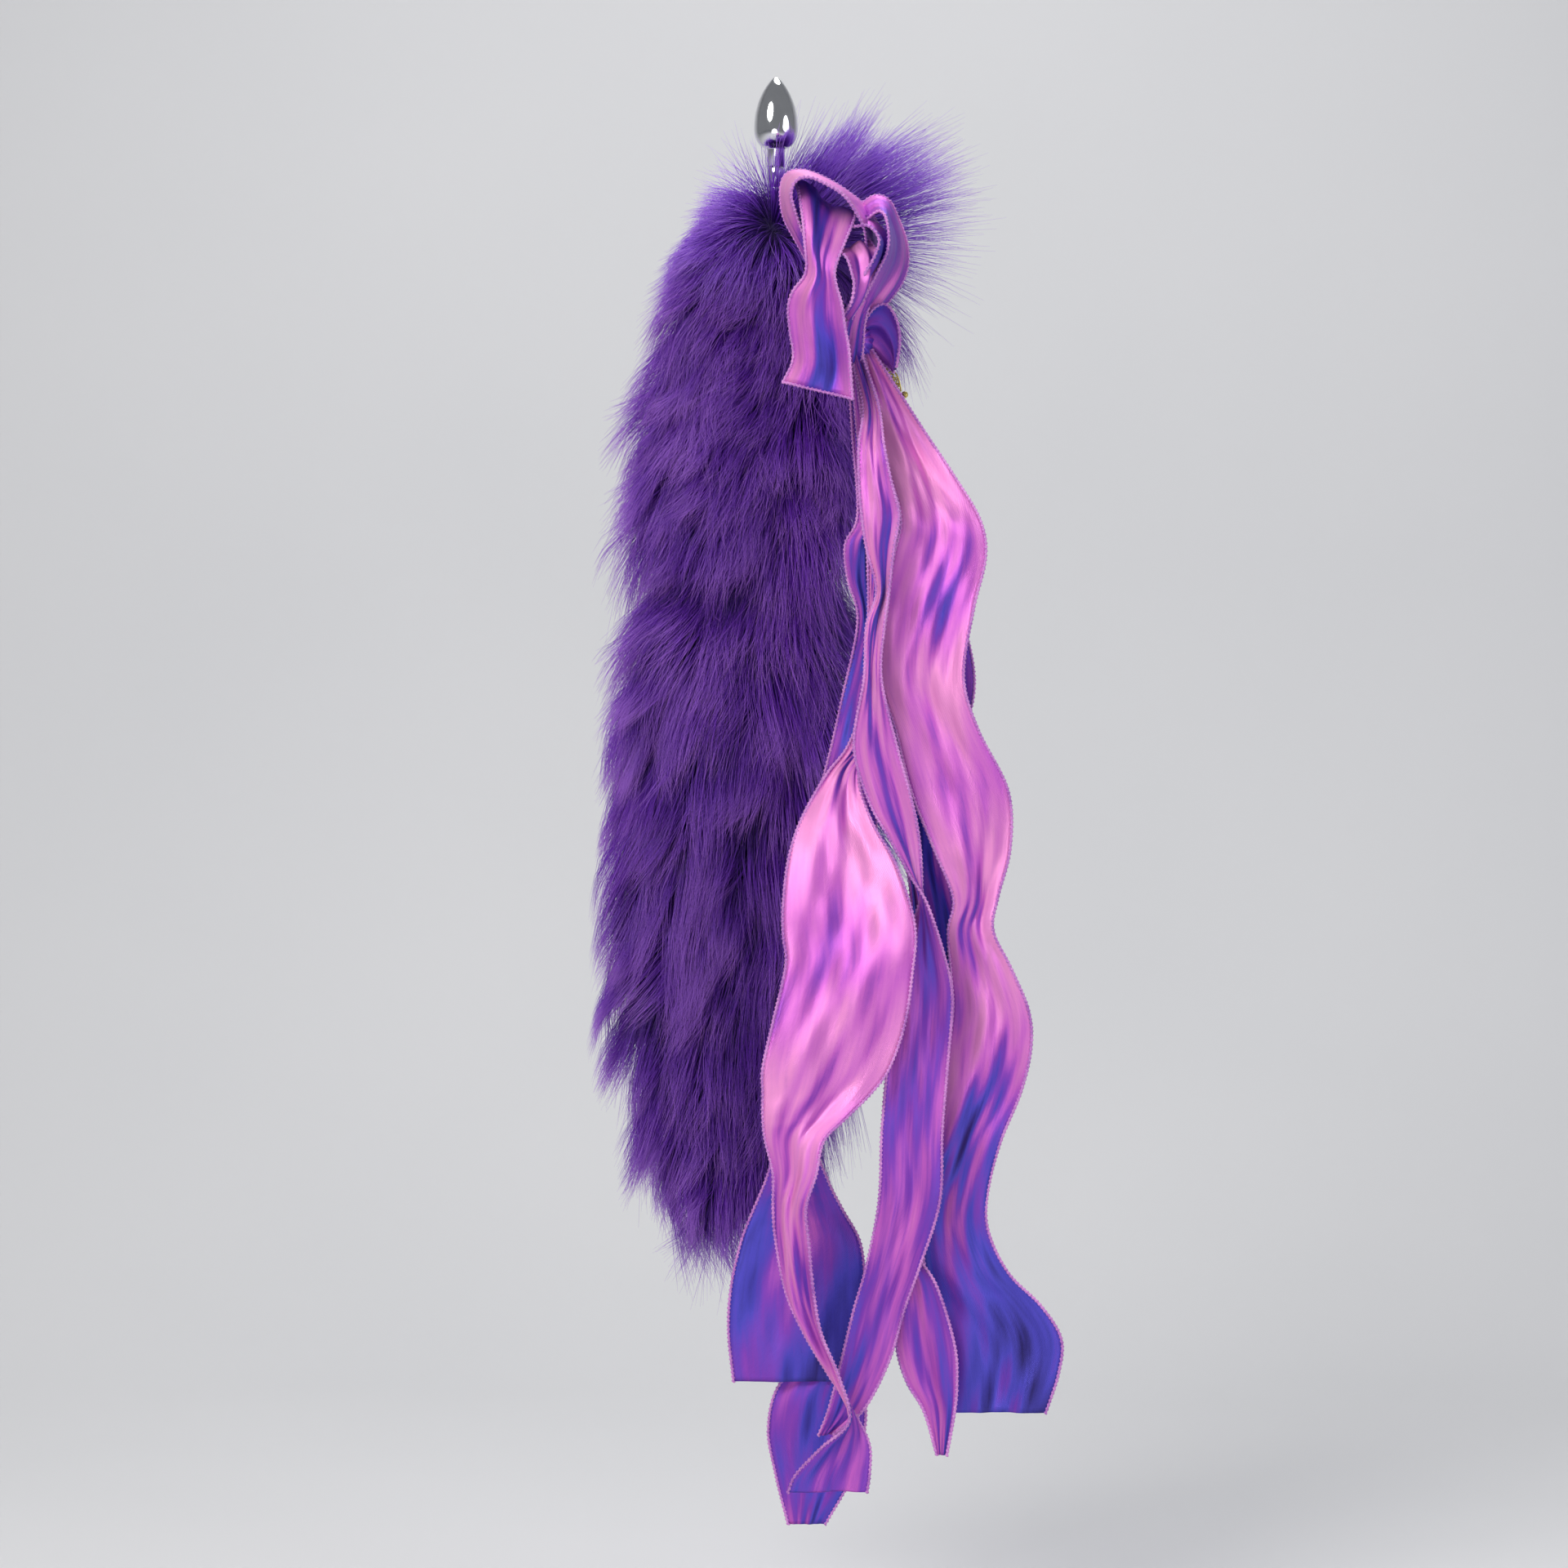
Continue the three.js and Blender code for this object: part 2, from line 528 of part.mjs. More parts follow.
const lowerTail = new THREE.Group();
lowerTail.position.x = -UPPER_LENGTH * Math.sin(rad(UPPER_LEAN));
lowerTail.position.z = NECK_PIVOT_Z - UPPER_LENGTH * Math.cos(rad(UPPER_LEAN));
lowerTail.rotation.y = rad(LOWER_LEAN);
buildLowerTail(lowerTail);
group.add(lowerTail);

buildBow(group);
buildStreamers(group);
buildCharm(group);

export default group;
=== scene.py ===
"""A dyed fur costume tail on a turned metal plug, with a wired-ribbon bow and streamers.

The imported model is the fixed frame. The fur, the ribbon work, the smooth turned metal
and the filigree are made here, in metres, around it.
"""

import json
import logging
import math
from dataclasses import dataclass, field
from enum import Enum
from typing import Sequence

import bmesh
import bpy
import numpy as np
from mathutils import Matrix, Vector


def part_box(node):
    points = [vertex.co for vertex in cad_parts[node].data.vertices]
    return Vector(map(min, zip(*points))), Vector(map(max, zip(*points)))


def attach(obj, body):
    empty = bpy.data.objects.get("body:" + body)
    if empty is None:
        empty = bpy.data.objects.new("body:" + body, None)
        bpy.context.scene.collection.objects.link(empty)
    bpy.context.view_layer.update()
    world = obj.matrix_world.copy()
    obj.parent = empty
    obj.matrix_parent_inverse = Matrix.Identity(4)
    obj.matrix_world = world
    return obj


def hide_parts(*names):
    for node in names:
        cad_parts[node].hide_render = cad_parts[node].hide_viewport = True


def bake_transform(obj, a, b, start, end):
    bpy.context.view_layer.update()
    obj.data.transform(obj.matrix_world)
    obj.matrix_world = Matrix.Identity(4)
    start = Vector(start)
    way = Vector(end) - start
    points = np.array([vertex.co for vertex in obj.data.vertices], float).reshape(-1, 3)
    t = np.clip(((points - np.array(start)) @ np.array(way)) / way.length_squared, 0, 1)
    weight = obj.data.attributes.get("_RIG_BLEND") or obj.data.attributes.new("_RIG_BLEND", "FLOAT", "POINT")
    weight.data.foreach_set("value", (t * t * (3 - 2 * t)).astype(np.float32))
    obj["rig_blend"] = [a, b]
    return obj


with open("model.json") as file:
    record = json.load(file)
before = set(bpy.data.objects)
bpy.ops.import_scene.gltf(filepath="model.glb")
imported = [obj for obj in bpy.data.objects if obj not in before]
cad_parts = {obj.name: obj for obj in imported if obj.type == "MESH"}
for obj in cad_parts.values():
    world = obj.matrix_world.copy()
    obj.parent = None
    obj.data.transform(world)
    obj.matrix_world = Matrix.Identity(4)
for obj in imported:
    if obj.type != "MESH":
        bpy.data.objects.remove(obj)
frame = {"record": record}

LOG = logging.getLogger("fur_tail")
MM = 0.001
Array = np.ndarray
Material = bpy.types.Material
Mesh = bpy.types.Mesh
Object = bpy.types.Object
Socket = bpy.types.NodeSocket
Triple = tuple[float, float, float]


# ---- node helpers ----------------------------------------------------------------


@dataclass
class Shader:
    """A small writer for one material's node tree."""

    name: str
    material: Material = field(init=False)

    def __post_init__(self) -> None:
        """Starts the material with a Principled shader wired to its output."""
        self.material = bpy.data.materials.new(self.name)
        self.material.use_nodes = True
        self.tree = self.material.node_tree
        self.tree.nodes.clear()
        self.output = self.add("ShaderNodeOutputMaterial")
        self.surface = self.add("ShaderNodeBsdfPrincipled")
        self.link(self.surface.outputs["BSDF"], self.output.inputs["Surface"])

    def add(self, kind: str, **settings: object) -> bpy.types.Node:
        """Adds a node.

        Args:
            kind: the node's type.
            settings: attributes to set on it.

        Returns:
            The node.
        """
        node = self.tree.nodes.new(kind)
        for key, value in settings.items():
            setattr(node, key, value)
        return node

    def link(self, source: Socket, target: Socket) -> None:
        """Wires one socket to another."""
        self.tree.links.new(source, target)

    def attribute(self, name: str, output: str = "Fac") -> Socket:
        """Reads a mesh attribute by name."""
        return self.add("ShaderNodeAttribute", attribute_name=name).outputs[output]

    def noise(
        self, vector: Socket, scale: float, detail: float = 2.0
    ) -> Socket:
        """A noise pattern's value.

        Args:
            vector: where the pattern is read.
            scale: its scale.
            detail: its octaves.

        Returns:
            The socket of its value.
        """
        node = self.add("ShaderNodeTexNoise")
        node.inputs["Scale"].default_value = scale
        node.inputs["Detail"].default_value = detail
        self.link(vector, node.inputs["Vector"])
        return node.outputs["Fac"]

    def object_coords(self, stretch: Sequence[float] = (1, 1, 1)) -> Socket:
        """Object coordinates, stretched along each axis."""
        source = self.add("ShaderNodeTexCoord").outputs["Object"]
        mapping = self.add("ShaderNodeMapping")
        mapping.inputs["Scale"].default_value = tuple(stretch)
        self.link(source, mapping.inputs["Vector"])
        return mapping.outputs["Vector"]

    def ramp(
        self, value: Socket, stops: Sequence[tuple[float, Sequence[float]]]
    ) -> Socket:
        """A colour ramp.

        Args:
            value: what drives it.
            stops: pairs of position and linear colour.

        Returns:
            The socket of its colour.
        """
        node = self.add("ShaderNodeValToRGB")
        elements = node.color_ramp.elements
        while len(elements) < len(stops):
            elements.new(0.5)
        for element, (position, colour) in zip(elements, stops):
            element.position = position
            element.color = (*colour, 1)
        self.link(value, node.inputs["Fac"])
        return node.outputs["Color"]

    def maths(self, operation: str, *values: object) -> Socket:
        """A sum of sockets and numbers."""
        node = self.add("ShaderNodeMath", operation=operation)
        for socket, value in zip(node.inputs, values):
            if isinstance(value, (int, float)):
                socket.default_value = value
            else:
                self.link(value, socket)
        return node.outputs[0]

    def mix(self, share: object, first: object, second: object) -> Socket:
        """Mixes two colours, each a socket or a linear colour."""
        node = self.add("ShaderNodeMix", data_type="RGBA")
        sockets = (node.inputs[0], node.inputs[6], node.inputs[7])
        for socket, value in zip(sockets, (share, first, second)):
            if isinstance(value, Socket):
                self.link(value, socket)
            elif isinstance(value, (int, float)):
                socket.default_value = value
            else:
                socket.default_value = (*value, 1)
        return node.outputs[2]

    def colour(self, socket: Socket) -> None:
        """Wires the base colour."""
        self.link(socket, self.surface.inputs["Base Color"])

    def roughness(self, pattern: Socket, spread: float, low: float) -> None:
        """Wires the roughness, which rises from low by a spread of the pattern."""
        self.link(self.maths("MULTIPLY_ADD", pattern, spread, low), self.surface.inputs["Roughness"])

    def nudge(self, base: Socket, pattern: Socket, share: float) -> Socket:
        """Moves a value up and down by a share of a pattern that centres on a half."""
        return self.maths("MULTIPLY_ADD", self.maths("SUBTRACT", pattern, 0.5), share, base)

    def bump(self, height: Socket, distance: float, strength: float) -> None:
        """Wires a bump from a height."""
        node = self.add("ShaderNodeBump")
        node.inputs["Distance"].default_value = distance
        node.inputs["Strength"].default_value = strength
        self.link(height, node.inputs["Height"])
        self.link(node.outputs["Normal"], self.surface.inputs["Normal"])

    def fixed(self, **values: object) -> None:
        """Sets constant sockets of the shader, an underscore standing for a space."""
        for key, value in values.items():
            self.surface.inputs[key.replace("_", " ")].default_value = value


def linear(red: int, green: int, blue: int) -> Triple:
    """A colour of 0 to 255 steps as linear light."""

    def one(step: int) -> float:
        """One channel."""
        share = step / 255
        return share / 12.92 if share <= 0.04045 else ((share + 0.055) / 1.055) ** 2.4

    return one(red), one(green), one(blue)


# ---- finishes --------------------------------------------------------------------


@dataclass(frozen=True)
class MetalFinish:
    """Polished or gilt metal with faint handling marks."""

    name: str
    base: Triple
    roughness_low: float
    roughness_high: float

    def material(self) -> Material:
        """Builds the material."""
        shader = Shader(self.name)
        place = shader.object_coords()
        cloud = shader.noise(place, 160, 3)
        fine = shader.noise(shader.object_coords((1, 1, 0.15)), 2600, 2)
        wear = shader.maths(
            "ADD", shader.maths("MULTIPLY", cloud, 0.7), shader.maths("MULTIPLY", fine, 0.3),
        )
        spread = self.roughness_high - self.roughness_low
        shader.roughness(wear, spread, self.roughness_low)
        dull = tuple(0.82 * channel for channel in self.base)
        shader.colour(shader.mix(cloud, self.base, dull))
        shader.fixed(Metallic=1.0)
        shader.bump(fine, 0.00002, 0.12)
        return shader.material


@dataclass(frozen=True)
class HairFinish:
    """Dyed guard hairs: dark roots, bright tips, every hair a little different."""

    name: str
    root: Triple
    middle: Triple
    tip: Triple

    def material(self) -> Material:
        """Builds the material, which reads how far along its hair each point is."""
        shader = Shader(self.name)
        along = shader.attribute("along")
        lot = shader.attribute("lot")
        patch = shader.noise(shader.object_coords((1, 1, 0.35)), 55, 3)
        shift = shader.nudge(along, lot, 0.42)
        shift = shader.nudge(shift, patch, 0.75)
        tone = shader.ramp(shift, [(0.12, self.root), (0.55, self.middle), (0.98, self.tip)])
        shader.colour(tone)
        shader.roughness(lot, 0.2, 0.34)
        shader.fixed(Specular_IOR_Level=0.5, Sheen_Weight=0.12, Sheen_Roughness=0.4)
        shader.fixed(Sheen_Tint=(0.62, 0.4, 1.0, 1.0))
        return shader.material


@dataclass(frozen=True)
class UnderFurFinish:
    """The dense woolly under-fur, seen only in the partings."""

    name: str
    dark: Triple
    light: Triple

    def material(self) -> Material:
        """Builds the material."""
        shader = Shader(self.name)
        streak = shader.noise(shader.object_coords((1, 1, 0.2)), 420, 4)
        shader.colour(shader.mix(streak, self.dark, self.light))
        shader.roughness(streak, 0.15, 0.8)
        shader.bump(streak, 0.0012, 0.8)
        shader.fixed(Sheen_Weight=0.2)
        return shader.material


@dataclass(frozen=True)
class ShotSatinFinish:
    """Satin woven with a pink warp over a blue weft, so that its folds change colour. The change is painted
    into the base colour: pink up to a painted highlight where the cloth faces the light, blue down to painted
    shade where it turns away.
    """

    name: str
    pink: Triple
    painted_highlight: Triple
    violet: Triple
    blue: Triple
    shaded_navy: Triple
    threads_per_metre: float = 4200.0

    def material(self) -> Material:
        """Builds the material, which reads each fold's painted sheen share and the cloth's UV."""
        shader = Shader(self.name)
        # The turn attribute is the painted sheen share: high where the cloth faces the light and is painted
        # pink, low where it turns away and is painted blue, down to the navy of painted shade.
        turn = shader.attribute("turn")
        cloth = shader.add("ShaderNodeUVMap", uv_map="cloth").outputs["UV"]
        warp = shader.add("ShaderNodeMapping")
        warp.inputs["Scale"].default_value = (1.0, 0.1, 1.0)
        warp.inputs["Rotation"].default_value = (0.0, 0.0, 0.12)
        shader.link(cloth, warp.inputs["Vector"])
        crease = shader.noise(warp.outputs["Vector"], 420, 3)
        slow = shader.add("ShaderNodeMapping")
        slow.inputs["Scale"].default_value = (1.0, 0.45, 1.0)
        shader.link(cloth, slow.inputs["Vector"])
        painted_sheen_pool = shader.noise(slow.outputs["Vector"], 34, 1)
        # Painted light and shade: the crease noise paints lighter and darker streaks along fine creases, and
        # the slow noise paints broad patches of sheen.
        shift = shader.nudge(turn, crease, 0.22)
        shift = shader.nudge(shift, painted_sheen_pool, 0.85)
        # The fine noise paints glints into the colour, and also roughens and bumps the weave.
        painted_glint_and_grain = shader.noise(cloth, 3600, 1)
        shift = shader.nudge(shift, painted_glint_and_grain, 0.22)
        # The ramp runs from painted shade (navy) through blue, violet and pink to a painted highlight.
        stops = [(0.04, self.shaded_navy), (0.3, self.blue), (0.5, self.violet)]
        stops += [(0.66, self.pink), (0.95, self.painted_highlight)]
        shader.colour(shader.ramp(shift, stops))
        weave = shader.add("ShaderNodeTexWave", wave_type="BANDS", bands_direction="DIAGONAL")
        weave.inputs["Scale"].default_value = self.threads_per_metre / 6.0
        weave.inputs["Distortion"].default_value = 1.5
        shader.link(cloth, weave.inputs["Vector"])
        grain = shader.maths("ADD", weave.outputs["Fac"], shader.maths("MULTIPLY", painted_glint_and_grain, 1.2))
        grain = shader.maths("ADD", grain, shader.maths("MULTIPLY", crease, 1.6))
        shader.roughness(grain, 0.07, 0.2)
        shader.bump(grain, 0.0001, 0.6)
        shader.fixed(Metallic=0.5, Specular_IOR_Level=0.5, Sheen_Weight=0.1)
        shader.fixed(Sheen_Roughness=0.35, Sheen_Tint=(1.0, 0.5, 0.85, 1.0))
        return shader.material


@dataclass(frozen=True)
class ThreadFinish:
    """Twisted thread, used for the merrowed edges and the sewing."""

    name: str
    light: Triple
    dark: Triple

    def material(self) -> Material:
        """Builds the material."""
        shader = Shader(self.name)
        strands = shader.noise(shader.object_coords(), 1500, 2)
        patch = shader.noise(shader.object_coords(), 60, 2)
        tone = shader.maths(
            "ADD", shader.maths("MULTIPLY", strands, 0.5), shader.maths("MULTIPLY", patch, 0.5),
        )
        shader.colour(shader.ramp(tone, [(0.3, self.dark), (0.62, self.light)]))
        shader.roughness(strands, 0.2, 0.42)
        shader.bump(strands, 0.0001, 0.5)
        shader.fixed(Sheen_Weight=0.35, Sheen_Roughness=0.4)
        return shader.material


@dataclass(frozen=True)
class HideFinish:
    """Tanned hide, or a braided cord, with a fine grain."""

    name: str
    light: Triple
    dark: Triple
    grain: float

    def material(self) -> Material:
        """Builds the material."""
        shader = Shader(self.name)
        grain = shader.noise(shader.object_coords(), self.grain, 4)
        shader.colour(shader.mix(grain, self.dark, self.light))
        shader.roughness(grain, 0.2, 0.65)
        shader.bump(grain, 0.0003, 0.6)
        return shader.material


STEEL = MetalFinish("polished_steel", (0.83, 0.84, 0.87), 0.03, 0.1)
GILT = MetalFinish("gilt_brass", linear(228, 205, 120), 0.16, 0.34)
HAIR = HairFinish("violet_hair", linear(44, 2, 104), linear(112, 34, 190), linear(180, 116, 232))
CROWN_HAIR = HairFinish("crown_hair", linear(60, 12, 130), linear(132, 58, 214), linear(184, 130, 242))
UNDER_FUR = UnderFurFinish("violet_under_fur", linear(14, 3, 38), linear(44, 12, 96))
# The satin's brightest stop is a painted highlight, and its navy stop is painted shade.
SATIN = ShotSatinFinish(
    "shot_satin",
    pink=linear(214, 104, 212),
    painted_highlight=linear(255, 158, 224),
    violet=linear(142, 66, 196),
    blue=linear(84, 78, 206),
    shaded_navy=linear(34, 22, 96),
)
MERROW = ThreadFinish("merrow_thread", linear(236, 158, 232), linear(148, 70, 178))
SEWING = ThreadFinish("sewing_thread", linear(70, 34, 120), linear(24, 8, 52))
PELT = HideFinish("pelt_hide", linear(214, 196, 224), linear(160, 138, 178), 700)
CORD = HideFinish("core_cord", linear(74, 54, 110), linear(34, 24, 58), 1400)


class Finishes:
    """Makes each material once and hands it out by finish."""

    made: dict[str, Material] = {}

    @classmethod
    def get(cls, finish: object) -> Material:
        """The material of a finish, made at its first use."""
        if finish.name not in cls.made:
            cls.made[finish.name] = finish.material()
        return cls.made[finish.name]


# ---- mesh helpers ----------------------------------------------------------------


def new_piece(name: str, mesh: Mesh, finish: object) -> Object:
    """Links a finished mesh as a piece.

    Args:
        name: the piece's name.
        mesh: its mesh, in the row frame.
        finish: what its surface is.

    Returns:
        The object.
    """
    mesh.name = name
    mesh.materials.clear()
    mesh.materials.append(Finishes.get(finish))
    mesh.polygons.foreach_set("use_smooth", [True] * len(mesh.polygons))
    mesh.polygons.foreach_set("material_index", [0] * len(mesh.polygons))
    piece = bpy.data.objects.new(name, mesh)
    bpy.context.scene.collection.objects.link(piece)
    return piece


def mesh_of(vertices: Array, faces: Sequence[Sequence[int]]) -> Mesh:
    """A mesh of points and faces."""
    mesh = bpy.data.meshes.new("piece")
    mesh.from_pydata([tuple(v) for v in vertices], [], [tuple(f) for f in faces])
    mesh.update()
    return mesh


def vertex_rows(mesh: Mesh, name: str) -> Array:
    """Each vertex's place ("co") or normal, one row each."""
    values = np.empty(3 * len(mesh.vertices), np.float32)
    mesh.vertices.foreach_get(name, values)
    return values.reshape(-1, 3)


def lay_cloth(mesh: Mesh, flat: Array) -> None:
    """Stores the cloth's flat layout in metres, one row for each vertex."""
    uv = mesh.uv_layers.new(name="cloth")
    corners = np.empty(len(mesh.loops), np.int32)
    mesh.loops.foreach_get("vertex_index", corners)
    uv.data.foreach_set("uv", flat[corners].astype(np.float32).reshape(-1))


def joint_place(name: str) -> Sequence[float]:
    """A joint's pivot, as the record gives it."""
    joints = {joint["name"]: joint for joint in frame["record"]["behaviour"]["joints"]}
    return joints[name]["pos_m"]


def float_attribute(mesh: Mesh, name: str, values: Array) -> None:
    """Stores one number for each vertex."""
    layer = mesh.attributes.new(name, "FLOAT", "POINT")
    layer.data.foreach_set("value", np.asarray(values, np.float32))


def vector_attribute(mesh: Mesh, name: str, values: Array) -> None:
    """Stores one vector for each vertex."""
    layer = mesh.attributes.new(name, "FLOAT_VECTOR", "POINT")
    layer.data.foreach_set("vector", np.asarray(values, np.float32).reshape(-1))


def smooth_curve(points: Array, count: int) -> Array:
    """A Catmull-Rom curve through the rows of points.

    Args:
        points: one row for each station.
        count: how many rows to return.

    Returns:
        The curve's rows, at even steps of station.
    """
    points = np.asarray(points, float)
    padded = np.vstack([2 * points[0] - points[1], points, 2 * points[-1] - points[-2]])
    place = np.linspace(0, len(points) - 1, count)
    index = np.minimum(place.astype(int), len(points) - 2)
    t = (place - index)[:, None]
    p0, p1, p2, p3 = (padded[index + k] for k in range(4))
    return 0.5 * (
        2 * p1 + (p2 - p0) * t + (2 * p0 - 5 * p1 + 4 * p2 - p3) * t**2
        + (3 * p1 - p0 - 3 * p2 + p3) * t**3
    )


def turned_piece(name: str, profile: Array, finish: object, sides: int = 96) -> Object:
    """A smooth body of revolution about Z.

    Args:
        name: the piece's name.
        profile: rows of radius and height, from the axis to the axis.
        finish: its finish.
        sides: how many sides it has.

    Returns:
        The piece.
    """
    rings = []
    faces = []
    vertices = []
    for radius, height in profile:
        if radius < 1e-9:
            rings.append([len(vertices)] * sides)
            vertices.append((0.0, 0.0, height))
            continue
        start = len(vertices)
        rings.append([start + i for i in range(sides)])
        for i in range(sides):
            angle = 2 * math.pi * i / sides
            vertices.append((radius * math.cos(angle), radius * math.sin(angle), height))
    for low, high in zip(rings, rings[1:]):
        for i in range(sides):
            j = (i + 1) % sides
            corners = [low[i], low[j], high[j], high[i]]
            face = list(dict.fromkeys(corners))
            if len(face) > 2:
                faces.append(face)
    return new_piece(name, mesh_of(np.array(vertices), faces), finish)


def tube_mesh(routes: Sequence[Array], radius: float, sides: int = 8) -> Mesh:
    """Round wires with closed ends.

    Args:
        routes: the points of each wire's centre line.
        radius: the wires' radius.
        sides: how many sides they have.

    Returns:
        One mesh with all the wires.
    """
    vertices: list[Array] = []
    faces: list[list[int]] = []
    for route in routes:
        tangents = np.gradient(route, axis=0)
        tangents /= np.linalg.norm(tangents, axis=1)[:, None]
        side = np.cross(tangents[0], (0.31, 0.87, 0.38))
        start = sum(len(v) for v in vertices)
        for index, (point, tangent) in enumerate(zip(route, tangents)):
            side = side - tangent * side.dot(tangent)
            side = side / np.linalg.norm(side)
            other = np.cross(tangent, side)
            turns = 2 * np.pi * np.arange(sides) / sides
            ring = point + radius * (np.cos(turns)[:, None] * side + np.sin(turns)[:, None] * other)
            vertices.append(ring)
            if index:
                low = start + (index - 1) * sides
                for i in range(sides):
                    j = (i + 1) % sides
                    faces.append([low + i, low + j, low + sides + j, low + sides + i])
        last = start + (len(route) - 1) * sides
        faces.append([start + i for i in reversed(range(sides))])
        faces.append([last + i for i in range(sides)])
    return mesh_of(np.vstack(vertices), faces)


# ---- geometry nodes --------------------------------------------------------------


class Kind(Enum):
    """What an attribute or a random value holds."""

    NUMBER = "FLOAT"
    VECTOR = "FLOAT_VECTOR"


class NodeShape:
    """A geometry node tree with named inputs, run once on a piece."""

    def __init__(self, name: str, inputs: Sequence[tuple[str, str]]) -> None:
        """Starts the tree.

        Args:
            name: the tree's name.
            inputs: pairs of input name and socket type, after the geometry.
        """
        self.tree = bpy.data.node_groups.new(name, "GeometryNodeTree")
        sockets = self.tree.interface
        sockets.new_socket("Geometry", in_out="INPUT", socket_type="NodeSocketGeometry")
        for title, kind in inputs:
            sockets.new_socket(title, in_out="INPUT", socket_type=kind)
        sockets.new_socket("Geometry", in_out="OUTPUT", socket_type="NodeSocketGeometry")
        self.start = self.tree.nodes.new("NodeGroupInput")
        self.end = self.tree.nodes.new("NodeGroupOutput")

    def __getitem__(self, name: str) -> Socket:
        """One of the tree's inputs."""
        return self.start.outputs[name]

    def add(self, kind: str, values: dict[object, object], **settings: object) -> bpy.types.Node:
        """Adds a node.

        Args:
            kind: the node's type.
            values: what goes into each input, by its name or number.
            settings: attributes to set first.

        Returns:
            The node.
        """
        node = self.tree.nodes.new(kind)
        for key, value in settings.items():
            setattr(node, key, value)
        for key, value in values.items():
            if isinstance(value, Socket):
                self.tree.links.new(value, node.inputs[key])
            else:
                node.inputs[key].default_value = value
        return node

    def vector(self, operation: str, *values: object) -> Socket:
        """Vector arithmetic; a scale takes its number second."""
        if operation == "SCALE":
            keyed = {0: values[0], "Scale": values[1]}
        else:
            keyed = dict(enumerate(values))
        return self.add("ShaderNodeVectorMath", keyed, operation=operation).outputs[0]

    def number(self, operation: str, *values: object) -> Socket:
        """Arithmetic on numbers."""
        return self.add("ShaderNodeMath", dict(enumerate(values)), operation=operation).outputs[0]

    def read(self, name: str, kind: Kind) -> Socket:
        """Reads a named attribute."""
        node = self.add("GeometryNodeInputNamedAttribute", {}, data_type=kind.value)
        node.inputs["Name"].default_value = name
        return node.outputs["Attribute"]

    def store(self, shape: object, name: str, value: object, kind: Kind) -> Socket:
        """Stores a named attribute at the points."""
        node = self.tree.nodes.new("GeometryNodeStoreNamedAttribute")
        node.data_type = kind.value
        node.inputs["Name"].default_value = name
        self.tree.links.new(shape, node.inputs["Geometry"])
        target = [s for s in node.inputs if s.name == "Value" and s.enabled][0]
        self.tree.links.new(value, target)
        return node.outputs["Geometry"]

    def random(self, kind: Kind, low: object, high: object, seed: object) -> Socket:
        """A random value for each point."""
        node = self.add("FunctionNodeRandomValue", {}, data_type=kind.value)
        first = 0 if kind is Kind.VECTOR else 2
        node.inputs[first].default_value = low
        node.inputs[first + 1].default_value = high
        if isinstance(seed, Socket):
            self.tree.links.new(seed, node.inputs["Seed"])
        else:
            node.inputs["Seed"].default_value = seed
        return node.outputs[0 if kind is Kind.VECTOR else 1]

    def finish(self, shape: Socket) -> None:
        """Wires the result."""
        self.tree.links.new(shape, self.end.inputs[0])

    def run(self, name: str, mesh: Mesh, values: dict[str, object]) -> Mesh:
        """Runs the tree on a mesh.

        Args:
            name: the result's name.
            mesh: what it starts from.
            values: the inputs' values by name.

        Returns:
            The plain mesh that comes out.
        """
        source = bpy.data.objects.new(name + "_source", mesh)
        bpy.context.scene.collection.objects.link(source)
        modifier = source.modifiers.new("shape", "NODES")
        modifier.node_group = self.tree
        for item in self.tree.interface.items_tree:
            if item.item_type == "SOCKET" and item.in_out == "INPUT" and item.name in values:
                modifier[item.identifier] = values[item.name]
        source.update_tag()
        bpy.context.view_layer.update()
        depsgraph = bpy.context.evaluated_depsgraph_get()
        result = bpy.data.meshes.new_from_object(source.evaluated_get(depsgraph))
        bpy.data.objects.remove(source)
        return result


